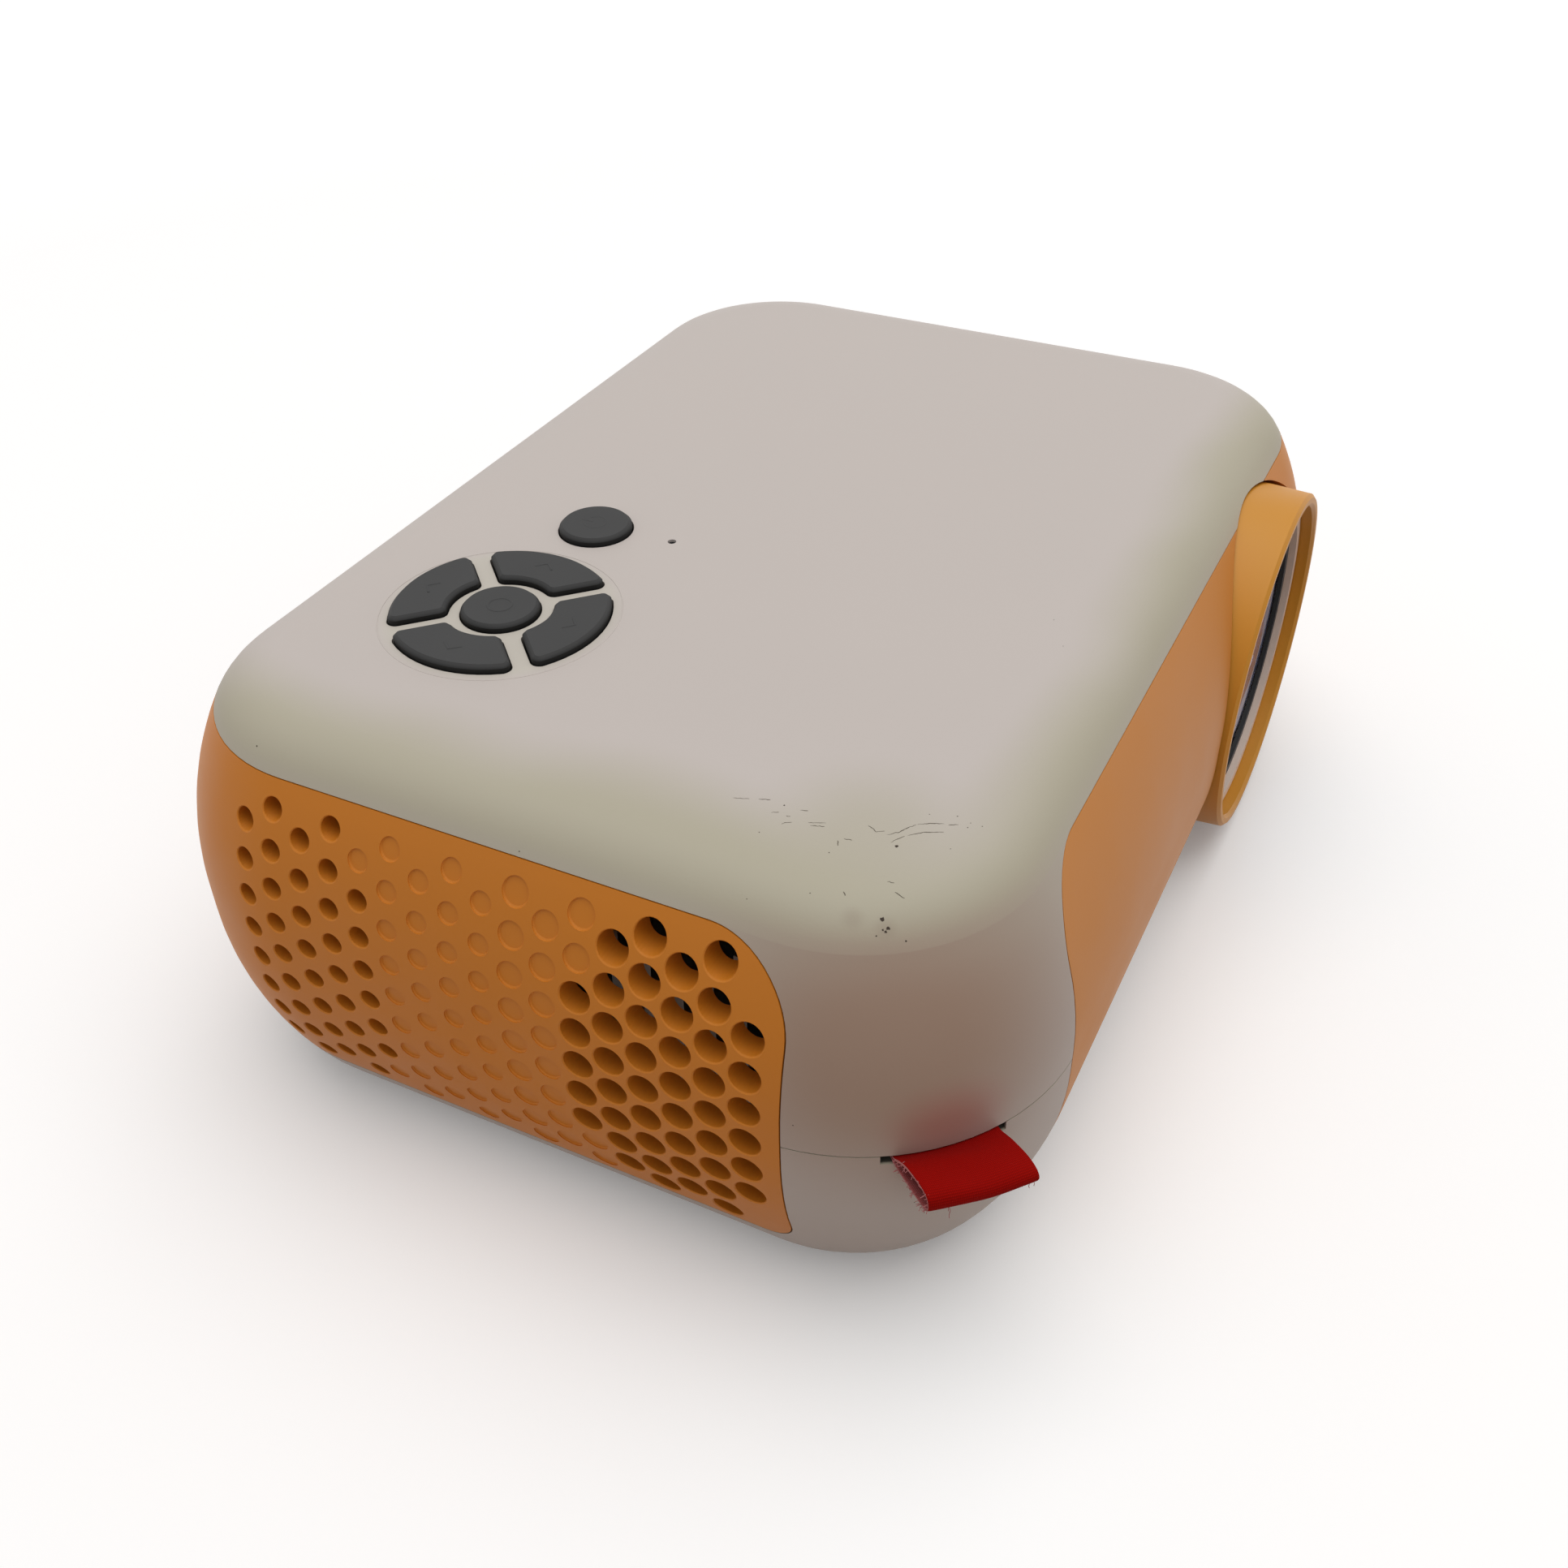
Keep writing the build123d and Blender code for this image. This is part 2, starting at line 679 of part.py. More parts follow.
# ---- Side panel: wraps the rear-left corner, with the perforations and the socket openings ----
holes = {large_hole_radius: [], small_hole_radius: []}
for row in range(lattice_rows):
    height = lattice_mid_height + ((lattice_rows - 1) / 2 - row) * lattice_pitch / 2
    for radius, columns in ((large_hole_radius, large_columns), (small_hole_radius, small_columns)):
        for column in columns:
            cut_short = column in edge_columns and not edge_start <= row < lattice_rows - edge_start
            if (row + column) % 2 == 0 and not cut_short:
                step = (column - 1) * lattice_pitch * sin(radians(60))
                holes[radius].append((step - lattice_front, height))

with BuildPart() as side_panel:
    add(hollow)
    add(wrap_space(-1, seam), mode=Mode.INTERSECT)
    for radius, places in holes.items():
        with BuildSketch(sideways(-corner_x, mid_y, base)):
            with Locations(*places):
                RegularPolygon(radius, hole_sides)
        extrude(amount=-far, mode=Mode.SUBTRACT)
    with BuildSketch(upright(0, rear + wall, 0)):
        with Locations((hdmi_x, board_top + hdmi_height / 2)):
            Rectangle(hdmi_width + 2 * socket_gap, hdmi_height + 2 * socket_gap)
        with Locations((usb_x, board_top + usb_height / 2)):
            Rectangle(usb_width + 2 * socket_gap, usb_height + 2 * socket_gap)
        with Locations((card_x, board_top + card_height / 2)):
            Rectangle(card_width + 2 * socket_gap, card_height + 2 * socket_gap)
        with Locations((jack_x, jack_z)):
            Circle(jack_bushing_radius + socket_gap)
        with Locations((dc_x, dc_z)):
            Circle(bushing_radius + socket_gap)
        with Locations((window_x, window_z)):
            Circle(window_radius + running_clearance)
    extrude(amount=4 * wall, mode=Mode.SUBTRACT)
write(side_panel.part, "side_panel")

# ---- Keys: domed caps with a retaining flange and a stem over each switch ----
for name in key_names:
    with BuildPart() as key:
        cap = key_outline(name, 0).moved(Location((0, 0, flange_bottom)))
        extrude(cap, amount=top + key_rise - flange_bottom)
        chamfer(key.faces().sort_by(Axis.Z)[-1].edges(), key_edge)
        flange = key_outline(name, key_flange).moved(Location((0, 0, flange_bottom)))
        extrude(flange, amount=key_flange_thickness)
        with BuildSketch(Plane.XY.offset(stem_bottom)):
            with Locations(key_middle(name)):
                Circle(key_stem_radius)
        extrude(amount=flange_bottom - stem_bottom)
    write(key.part, name)

# ---- Key board, its switches and the light pipe of the indicator ----
with BuildPart() as key_board:
    with BuildSketch(Plane.XY.offset(key_board_low)):
        with Locations((board_x, board_y)):
            Rectangle(key_board_right - key_board_left, key_board_rear - key_board_front)
    extrude(amount=key_board_thickness)
write(key_board.part, "key_board")

with BuildPart() as key_switches:
    with BuildSketch(Plane.XY.offset(key_board_top)):
        with Locations(*[key_middle(name) for name in key_names]):
            Rectangle(switch_size, switch_size)
    extrude(amount=switch_body)
    with BuildSketch(Plane.XY.offset(key_board_top)):
        with Locations(*[key_middle(name) for name in key_names]):
            RegularPolygon(switch_button, hole_sides)
    extrude(amount=switch_body + switch_button_height)
write(key_switches.part, "key_switches")

with BuildPart() as light_pipe:
    with BuildSketch(Plane.XY.offset(key_board_top)):
        with Locations(*spots([(indicator_x, indicator_y)])):
            Circle(indicator_radius - pipe_clearance)
    extrude(amount=top - pipe_recess - key_board_top)
write(light_pipe.part, "light_pipe")

# ---- Lens group ----
with BuildPart() as focus_ring:
    with BuildSketch(lens_turning()) as section:
        with BuildLine():
            Polyline(
                (ring_bore_radius, rim),
                (ring_radius, rim),
                (ring_root_radius, ring_back),
                (sleeve_radius + running_clearance, ring_back),
                (sleeve_radius + running_clearance, ring_back - ring_flange),
                (ring_bore_radius, ring_back - ring_flange),
                close=True,
            )
        make_face()
        chamfer(section.vertices().group_by(Axis.Y)[0], ring_edge)
    revolve(axis=lens_axis)
write(focus_ring.part, "focus_ring")

with BuildPart() as lens_barrel:
    with BuildSketch(lens_turning()):
        with BuildLine():
            Polyline(
                (barrel_mouth_radius, barrel_front),
                (barrel_cup_radius, barrel_front),
                (barrel_cup_radius, cup_back),
                (barrel_tube_radius, cup_back),
                (barrel_tube_radius, barrel_back),
                (barrel_tube_radius - barrel_tube_wall, barrel_back),
                (barrel_tube_radius - barrel_tube_wall, cup_floor),
                (barrel_mouth_radius, cup_floor),
                close=True,
            )
        make_face()
    revolve(axis=lens_axis)
write(lens_barrel.part, "lens_barrel")

lens_edge = cup_floor - front_lens_edge
lens_radius = barrel_mouth_radius - lens_clearance
with BuildPart() as front_lens:
    with BuildSketch(lens_turning()):
        with BuildLine():
            Line((0, lens_edge - front_lens_dome), (0, cup_floor))
            Line((0, cup_floor), (lens_radius, cup_floor))
            Line((lens_radius, cup_floor), (lens_radius, lens_edge))
            dome(lens_radius, lens_edge, -front_lens_dome)
        make_face()
    revolve(axis=lens_axis)
write(front_lens.part, "front_lens")

with BuildPart() as lens_retainer:
    with BuildSketch(upright(lens_x, lens_edge - retainer_gap, lens_z)):
        Circle(lens_radius)
        Circle(lens_radius - retainer_width, mode=Mode.SUBTRACT)
    extrude(amount=retainer_thickness)
write(lens_retainer.part, "lens_retainer")

rear_radius = barrel_tube_radius - barrel_tube_wall - lens_clearance
rear_back = barrel_back - rear_lens_setback
rear_front = rear_back - rear_lens_edge
with BuildPart() as rear_lens:
    with BuildSketch(lens_turning()):
        with BuildLine():
            dome(rear_radius, rear_front, -rear_lens_dome)
            Line((rear_radius, rear_front), (rear_radius, rear_back))
            Line((rear_radius, rear_back), (0, rear_back))
            Line((0, rear_back), (0, rear_front - rear_lens_dome))
        make_face()
    revolve(axis=lens_axis)
write(rear_lens.part, "rear_lens")

with BuildPart() as lens_mount:
    with BuildSketch(upright(lens_x, sleeve_front + sleeve_length, lens_z)):
        Circle(sleeve_radius)
        Circle(sleeve_radius - sleeve_wall, mode=Mode.SUBTRACT)
    extrude(amount=sleeve_length)
    with BuildSketch(upright(lens_x, opening_back + mount_flange_thickness, lens_z)):
        Circle(mount_flange_radius)
        Circle(sleeve_radius - sleeve_wall, mode=Mode.SUBTRACT)
    extrude(amount=mount_flange_thickness)
write(lens_mount.part, "lens_mount")

# ---- Optical box: a trough from the lamp to the fold mirror, with its cover and plates ----
mirror_back = sqrt(2) * (mirror_thickness + 2 * plate_clearance + box_wall)
diagonal = lens_x + box_y + mirror_back  # x + y along the outside of the slanting wall


def box_outline():
    """Plan of the optical box: a rectangle with its far rear corner cut at 45 degrees."""
    low = box_y - box_half_width
    high = box_y + box_half_width
    with BuildLine() as outline:
        Polyline(
            (box_left, low),
            (box_right, low),
            (box_right, diagonal - box_right),
            (diagonal - high, high),
            (box_left, high),
            close=True,
        )
    make_face(outline.edges())


with BuildPart() as optical_box:
    with BuildSketch(Plane.XY.offset(box_low)):
        box_outline()
    extrude(amount=box_height)
    with BuildSketch(Plane.XY.offset(box_low + box_wall)):
        box_outline()
        offset(amount=-box_wall)
    extrude(amount=box_height, mode=Mode.SUBTRACT)
    with BuildSketch(sideways(box_left - box_wall, box_y, lens_z)):
        Circle(light_hole_radius)
    extrude(amount=3 * box_wall, mode=Mode.SUBTRACT)
    with BuildSketch(upright(lens_x, box_y - box_half_width + 2 * box_wall, lens_z)):
        Circle(light_hole_radius)
    extrude(amount=3 * box_wall, mode=Mode.SUBTRACT)
write(optical_box.part, "optical_box")

with BuildPart() as optical_box_cover:
    with BuildSketch(Plane.XY.offset(box_rim)):
        box_outline()
    extrude(amount=box_cover)
write(optical_box_cover.part, "optical_box_cover")


def upright_plate(x, thickness):
    """A plate standing across the light path, between the walls of the optical box."""
    with BuildSketch(Plane.XY.offset(plate_low)) as outline:
        with Locations((x, box_y)):
            Rectangle(thickness, plate_width)
    extrude(outline.sketch, amount=plate_height)


with BuildPart() as heat_filter:
    upright_plate(filter_x, filter_thickness)
write(heat_filter.part, "heat_filter")

with BuildPart() as lcd_panel:
    upright_plate(lcd_x, lcd_thickness)
    for face in (-1, 1):
        with BuildSketch(sideways(lcd_x + face * lcd_thickness / 2, box_y, lens_z)):
            Rectangle(lcd_window_width, lcd_window_height)
        extrude(amount=-face * lcd_recess, mode=Mode.SUBTRACT)
write(lcd_panel.part, "lcd_panel")

with BuildPart() as field_lens:
    upright_plate(field_x, field_thickness)
write(field_lens.part, "field_lens")

mirror_shift = mirror_thickness / 2 * sqrt(0.5)
with BuildPart() as fold_mirror:
    with BuildSketch(Plane.XY.offset(plate_low)):
        with Locations((lens_x + mirror_shift, box_y + mirror_shift)):
            Rectangle(mirror_length, mirror_thickness, rotation=-45)
    extrude(amount=plate_height)
write(fold_mirror.part, "fold_mirror")

condenser_back = box_left + box_wall + lens_clearance
with BuildPart() as condenser_lens:
    with BuildSketch(Plane((condenser_back, box_y, lens_z), x_dir=(0, 1, 0), z_dir=(0, 0, -1))):
        with BuildLine():
            Line((0, condenser_edge + condenser_dome), (0, 0))
            Line((0, 0), (condenser_radius, 0))
            Line((condenser_radius, 0), (condenser_radius, condenser_edge))
            dome(condenser_radius, condenser_edge, condenser_dome)
        make_face()
    revolve(axis=Axis((condenser_back, box_y, lens_z), (1, 0, 0)))
write(condenser_lens.part, "condenser_lens")

# ---- Lamp and heat sink ----
with BuildPart() as heat_sink:
    with BuildSketch(Plane.XY.offset(sink_low)):
        with Locations((sink_base_right - sink_base_thickness / 2, sink_middle)):
            Rectangle(sink_base_thickness, sink_length)
        with Locations((sink_left + fin_reach / 2, sink_middle)):
            with GridLocations(0, fin_pitch, 1, fin_count):
                Rectangle(fin_reach, fin_thickness)
    extrude(amount=sink_high - sink_low)
write(heat_sink.part, "heat_sink")

led_face = sink_base_right + led_board_thickness + led_thickness
with BuildPart() as led_module:
    with BuildSketch(sideways(sink_base_right, box_y, lens_z)):
        Rectangle(led_board_size, led_board_size)
    extrude(amount=led_board_thickness)
    with BuildSketch(sideways(sink_base_right, box_y, lens_z)):
        Rectangle(led_size, led_size)
    extrude(amount=led_board_thickness + led_thickness)
    with BuildSketch(Plane((led_face, box_y, lens_z), x_dir=(0, 1, 0), z_dir=(0, 0, -1))):
        with BuildLine():
            Polyline((0, led_dome_rise), (0, 0), (led_dome_radius, 0))
            dome(led_dome_radius, 0, led_dome_rise)
        make_face()
    revolve(axis=Axis((led_face, box_y, lens_z), (1, 0, 0)))
write(led_module.part, "led_module")

# ---- Fan ----
hub_back = fan_left + fan_motor_plate + fan_hub_gap
hub_front = fan_right - fan_hub_gap
blade_middle = (hub_back + hub_front) / 2
with BuildPart() as fan_frame:
    with BuildSketch(sideways(fan_left, mid_y + fan_y, fan_z)):
        RectangleRounded(fan_size, fan_size, fan_hole_inset / 2)
        Circle(fan_bore, mode=Mode.SUBTRACT)
        with GridLocations(fan_size - 2 * fan_hole_inset, fan_size - 2 * fan_hole_inset, 2, 2):
            Circle(fan_hole_radius, mode=Mode.SUBTRACT)
    extrude(amount=fan_depth)
    with BuildSketch(sideways(fan_left, mid_y + fan_y, fan_z)):
        Circle(fan_motor_radius)
        Rectangle(2 * fan_bore + fan_rail, fan_strut_width)
        Rectangle(fan_strut_width, 2 * fan_bore + fan_rail)
    extrude(amount=fan_motor_plate)
    with BuildSketch(sideways(fan_left, mid_y + fan_y, fan_z)):
        Circle(fan_bearing_radius)
    extrude(amount=fan_depth - 2 * fan_motor_plate)
    with BuildSketch(sideways(fan_left, mid_y + fan_y, fan_z)):
        Circle(fan_shaft_radius + running_clearance)
    extrude(amount=fan_depth, mode=Mode.SUBTRACT)
write(fan_frame.part, "fan_frame")

with BuildPart() as fan_rotor:
    with BuildSketch(sideways(hub_back, mid_y + fan_y, fan_z)):
        Circle(fan_hub_radius)
    extrude(amount=hub_front - hub_back)
    with BuildSketch(sideways(hub_back, mid_y + fan_y, fan_z)):
        Circle(fan_hub_radius - fan_hub_wall)
    extrude(amount=hub_front - hub_back - fan_hub_wall, mode=Mode.SUBTRACT)
    with BuildSketch(sideways(fan_left + running_clearance, mid_y + fan_y, fan_z)):
        Circle(fan_shaft_radius)
    extrude(amount=hub_front - fan_left - fan_hub_wall)
    for blade in range(fan_blades):
        turn = radians(360 / fan_blades * blade)
        outward = Vector(0, cos(turn), sin(turn))
        around = Vector(0, -sin(turn), cos(turn))
        along = Vector(1, 0, 0) * sin(radians(fan_pitch)) + around * cos(radians(fan_pitch))
        root = Vector(blade_middle, mid_y + fan_y, fan_z) + outward * (fan_hub_radius - fan_hub_wall / 2)
        with BuildSketch(Plane(root, x_dir=along, z_dir=outward)):
            Rectangle(fan_chord, fan_blade_thickness)
        extrude(amount=fan_bore - fan_tip_clearance - fan_hub_radius)
write(fan_rotor.part, "fan_rotor")

# ---- Speaker ----
speaker_turning = Plane((speaker_face, mid_y + speaker_y, lens_z), x_dir=(0, 1, 0), z_dir=(0, 0, -1))
speaker_axis = Axis((speaker_face, mid_y + speaker_y, lens_z), (1, 0, 0))
with BuildPart() as speaker:
    with BuildSketch(speaker_turning):
        with BuildLine():
            Polyline(
                (speaker_radius - speaker_rim, 0),
                (speaker_radius, 0),
                (speaker_radius, speaker_rim),
                (speaker_magnet_radius, speaker_depth - speaker_magnet),
                (speaker_magnet_radius, speaker_depth),
                (0, speaker_depth),
                (0, speaker_cone_sag / 2),
                (speaker_magnet_radius / 2, speaker_cone_sag),
                close=True,
            )
        make_face()
    revolve(axis=speaker_axis)
write(speaker.part, "speaker")

# ---- Main board, its components and the sockets along its rear edge ----
with BuildPart() as main_board:
    with BuildSketch(Plane.XY.offset(base + board_height)):
        with Locations((board_shift, (board_front + board_rear) / 2)):
            Rectangle(board_width, board_depth)
    extrude(amount=board_thickness)
write(main_board.part, "main_board")

with BuildPart() as board_components:
    for x, back, width, depth, height in chips:
        with BuildSketch(Plane.XY.offset(board_top)):
            with Locations((x, board_front + back)):
                Rectangle(width, depth)
        extrude(amount=height)
    with BuildSketch(Plane.XY.offset(board_top)):
        with Locations(*[(x, board_front + back) for x, back in capacitors]):
            Circle(capacitor_radius)
    extrude(amount=capacitor_height)
write(board_components.part, "board_components")


def metal_socket(x, width, height, depth):
    """Folded metal socket: a tube open at its mouth and closed at its back."""
    middle = board_top + height / 2
    with BuildSketch(upright(x, socket_face, middle)) as outside:
        Rectangle(width, height)
    extrude(outside.sketch, amount=depth)
    with BuildSketch(upright(x, socket_face, middle)) as inside:
        Rectangle(width - 2 * metal, height - 2 * metal)
    extrude(inside.sketch, amount=depth - metal, mode=Mode.SUBTRACT)


with BuildPart() as hdmi_socket:
    metal_socket(hdmi_x, hdmi_width, hdmi_height, hdmi_depth)
write(hdmi_socket.part, "hdmi_socket")

with BuildPart() as usb_socket:
    metal_socket(usb_x, usb_width, usb_height, usb_depth)
write(usb_socket.part, "usb_socket")

with BuildPart() as card_slot:
    metal_socket(card_x, card_width, card_height, card_depth)
write(card_slot.part, "card_slot")


def round_socket(x, z, width, height, depth, bushing, bore):
    """Moulded socket: a block behind the rear wall, with a bushing through it and a blind bore."""
    with BuildSketch(upright(x, rear - body_setback, board_top + height / 2)) as block:
        Rectangle(width, height)
    extrude(block.sketch, amount=depth)
    with BuildSketch(upright(x, rear - body_setback, z)) as collar:
        Circle(bushing)
    extrude(collar.sketch, amount=bushing_setback - body_setback)
    with BuildSketch(upright(x, rear, z)) as hole:
        Circle(bore)
    extrude(hole.sketch, amount=depth, mode=Mode.SUBTRACT)


with BuildPart() as audio_jack:
    round_socket(jack_x, jack_z, jack_width, jack_height, jack_depth, jack_bushing_radius, jack_bore)
write(audio_jack.part, "audio_jack")

with BuildPart() as dc_inlet:
    round_socket(dc_x, dc_z, dc_width, dc_height, dc_depth, bushing_radius, dc_bore)
    with BuildSketch(upright(dc_x, rear - body_setback, dc_z)):
        Circle(dc_pin)
    extrude(amount=dc_depth - body_setback / 2)
write(dc_inlet.part, "dc_inlet")

with BuildPart() as infrared_window:
    with BuildSketch(upright(window_x, rear - window_depth, window_z)):
        Circle(window_radius)
    extrude(amount=window_length - pipe_clearance)
write(infrared_window.part, "infrared_window")

# ---- Feet, screws and camera-thread insert ----
with BuildPart() as rubber_feet:
    with BuildSketch(Plane.XY):
        with Locations((0, mid_y)):
            with GridLocations(2 * foot_x, 2 * foot_y, 2, 2):
                Circle(foot_radius)
    extrude(amount=foot_height + foot_recess)
write(rubber_feet.part, "rubber_feet")

with BuildPart() as case_screws:
    with BuildSketch(Plane.XY.offset(base + screw_sink - screw_head_height)):
        with Locations(*spots(screw_posts)):
            Circle(screw_head_radius)
    extrude(amount=screw_head_height)
    with BuildSketch(Plane.XY.offset(base + screw_sink)):
        with Locations(*spots(screw_posts)):
            Circle(screw_radius)
    extrude(amount=screw_length - screw_sink)
write(case_screws.part, "case_screws")

with BuildPart() as thread_insert:
    with BuildSketch(Plane.XY.offset(base)):
        with Locations((0, mid_y)):
            Circle(insert_radius)
    extrude(amount=insert_length)
    with BuildSketch(Plane.XY.offset(base)):
        with Locations((0, mid_y)):
            Circle(thread_radius)
    extrude(amount=insert_bore_depth, mode=Mode.SUBTRACT)
write(thread_insert.part, "thread_insert")

# ---- Fabric tag: one ribbon folded back on itself, its ends held in the parting line ----
tip_x = tag_end - tag_loop_radius
tip_y = tag_top - tag_root / 2 - tag_droop
inner_radius = tag_loop_radius - tag_cloth
with BuildPart() as woven_tag:
    with BuildSketch(
        Plane((-corner_x, mid_y - corner_y, parting), x_dir=(-1, -1, 0), z_dir=(-1, 1, 0))
    ):
        with BuildLine():
            for radius, upper, lower in (
                (tag_loop_radius, tag_top, tag_top - tag_root),
                (inner_radius, tag_top - tag_cloth, tag_top - tag_root + tag_cloth),
            ):
                Line((tag_start, upper), (corner_radius, upper))
                Spline((corner_radius, upper), (tip_x, tip_y + radius), tangents=[(1, 0), (1, -0.1)])
                ThreePointArc((tip_x, tip_y + radius), (tip_x + radius, tip_y), (tip_x, tip_y - radius))
                Spline((tip_x, tip_y - radius), (corner_radius, lower), tangents=[(-1, 0.1), (-1, 0)])
                Line((corner_radius, lower), (tag_start, lower))
            Line((tag_start, tag_top), (tag_start, tag_top - tag_cloth))
            Line((tag_start, tag_top - tag_root), (tag_start, tag_top - tag_root + tag_cloth))
        make_face()
    extrude(amount=tag_width / 2, both=True)
write(woven_tag.part, "woven_tag")
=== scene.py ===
import bmesh
import bpy
import random
from math import atan2, cos, pi, radians, sin, sqrt
from mathutils import Matrix, Vector
from mathutils.bvhtree import BVHTree


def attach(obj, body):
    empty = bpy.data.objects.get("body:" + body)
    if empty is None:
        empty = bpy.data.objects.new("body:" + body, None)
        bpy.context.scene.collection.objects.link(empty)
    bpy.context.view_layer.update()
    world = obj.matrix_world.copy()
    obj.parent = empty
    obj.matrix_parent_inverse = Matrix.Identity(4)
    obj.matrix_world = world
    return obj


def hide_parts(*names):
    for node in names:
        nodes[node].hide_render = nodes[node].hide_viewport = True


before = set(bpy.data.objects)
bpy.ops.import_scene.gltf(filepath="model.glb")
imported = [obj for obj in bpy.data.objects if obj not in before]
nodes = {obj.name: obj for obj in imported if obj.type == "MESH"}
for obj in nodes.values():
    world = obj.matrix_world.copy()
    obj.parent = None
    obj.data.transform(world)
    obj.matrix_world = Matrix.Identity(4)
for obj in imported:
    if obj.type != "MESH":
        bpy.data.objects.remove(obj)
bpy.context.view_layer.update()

# ---- Table, light and camera ----
# A pale table top under one broad soft lamp, which hangs above and a little behind the projector.
# The camera looks down on the perforated side and the corner with the tag.
TABLE_SIZE = 6.0
TABLE_SEEN = (0.96, 0.96, 0.96, 1)
TABLE_BOUNCE = (0.36, 0.27, 0.21, 1)
TABLE_NEAR = 0.3
TABLE_GLOW = 0.13
TABLE_FAR_GLOW = 0.75
TABLE_GRIT = 0.0002
WHITE = (1, 1, 1, 1)
SKY_LIGHT = 0.47
LAMP_SIZE = 1.8
LAMP_POWER = 16.5
LAMP_COLOUR = (1.0, 0.985, 0.97)
LAMP_PLACE = (0.15, -0.1, 1.6)
CAMERA_PLACE = Vector((-0.15211, -0.07249, 0.14088))
CAMERA_AZIMUTH = radians(-63.199)
CAMERA_ELEVATION = radians(38.489)
CAMERA_ROLL = radians(-1.001)
PHOTO_SIDE = 1932
FOCAL_PIXELS = 1999.02
PICTURE_MIDDLE = (966.8, 991.42)
SENSOR_WIDTH = 36
NEAREST_SEEN = 0.01


def connect(material, node, inputs):
    """Set a node's inputs, to plain values or to the outputs of other nodes."""
    for socket, value in inputs.items():
        if isinstance(value, bpy.types.NodeSocket):
            material.node_tree.links.new(value, node.inputs[socket])
        else:
            node.inputs[socket].default_value = value


def lay(material, kind, inputs=None, **options):
    """Put one node into a material."""
    node = material.node_tree.nodes.new("ShaderNode" + kind)
    for option, value in options.items():
        setattr(node, option, value)
    connect(material, node, inputs or {})
    return node


def joined(material, operation, first, second):
    """Two values put together by one operation, such as MULTIPLY."""
    return lay(material, "Math", {0: first, 1: second}, operation=operation).outputs[0]


def ranged(material, value, start, end, low=0.0, high=1.0, smooth=False):
    """Goes from low to high while value goes from start to end, and stays level beyond."""
    span = {"Value": value, "From Min": start, "From Max": end, "To Min": low, "To Max": high}
    return lay(material, "MapRange", span, interpolation_type="SMOOTHSTEP" if smooth else "LINEAR").outputs[0]


def mixed(material, share, first, second):
    """The first colour, going over to the second as share goes from 0 to 1."""
    return lay(material, "Mix", {0: share, 6: first, 7: second}, data_type="RGBA").outputs[2]


def bumped(material, height, strength, depth):
    """The way the surface faces once a height is laid on it."""
    return lay(material, "Bump", {"Height": height, "Strength": strength, "Distance": depth}).outputs[0]


def new_material(name):
    """An empty material with nodes."""
    material = bpy.data.materials.new(name)
    material.use_nodes = True
    return material


def surface_of(material):
    """The node that stands for a material's own surface."""
    return material.node_tree.nodes["Principled BSDF"]


def seen_directly(material):
    """One where the camera, a reflection or a view through glass looks straight at the surface."""
    path = lay(material, "LightPath").outputs
    mirrored = joined(material, "MAXIMUM", path["Is Camera Ray"], path["Is Glossy Ray"])
    return joined(material, "MAXIMUM", mirrored, path["Is Transmission Ray"])


def mesh_piece(name, mesh, material, body=None, solid=False):
    """A new piece from a finished bmesh: named, painted and fixed to its body. A solid one faces outwards."""
    if solid:
        bmesh.ops.recalc_face_normals(mesh, faces=mesh.faces)
    data = bpy.data.meshes.new(name)
    mesh.to_mesh(data)
    mesh.free()
    data.materials.append(material)
    piece = bpy.data.objects.new(name, data)
    bpy.context.scene.collection.objects.link(piece)
    if body:
        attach(piece, body)
    return piece


table_paint = new_material("table_paint")
speckle = lay(table_paint, "TexNoise", {"Scale": 260.0, "Detail": 4.0}).outputs["Fac"]
looked_at = seen_directly(table_paint)
# Away from the lamp the table grows pale, so that it meets the white behind it without an edge.
table_place = lay(table_paint, "TexCoord").outputs["Object"]
far_out = lay(table_paint, "VectorMath", {0: table_place}, operation="LENGTH").outputs["Value"]
paler = ranged(table_paint, far_out, TABLE_NEAR, TABLE_SIZE / 3, TABLE_GLOW, TABLE_FAR_GLOW)
connect(table_paint, surface_of(table_paint), {
    "Base Color": mixed(table_paint, looked_at, TABLE_BOUNCE, TABLE_SEEN),
    "Emission Color": WHITE,
    "Emission Strength": joined(table_paint, "MULTIPLY", looked_at, paler),
    "Normal": bumped(table_paint, speckle, 0.05, TABLE_GRIT),
    "Roughness": 0.9,
    "Specular IOR Level": 0.1,
})
table_mesh = bmesh.new()
bmesh.ops.create_grid(table_mesh, x_segments=8, y_segments=8, size=TABLE_SIZE / 2)
mesh_piece("table_top", table_mesh, table_paint)

sky = bpy.data.worlds.new("sky")
sky.use_nodes = True
bpy.context.scene.world = sky
sky_level = ranged(sky, seen_directly(sky), 0.0, 1.0, SKY_LIGHT, 1.0)
connect(sky, sky.node_tree.nodes["Background"], {"Strength": sky_level, "Color": WHITE})

lamp = bpy.data.objects.new("soft_lamp", bpy.data.lights.new("soft_lamp", "AREA"))
lamp.data.size = LAMP_SIZE
lamp.data.energy = LAMP_POWER
lamp.data.color = LAMP_COLOUR
lamp.location = LAMP_PLACE
lamp.rotation_euler = (-Vector(LAMP_PLACE)).to_track_quat("-Z", "Y").to_euler()
bpy.context.scene.collection.objects.link(lamp)

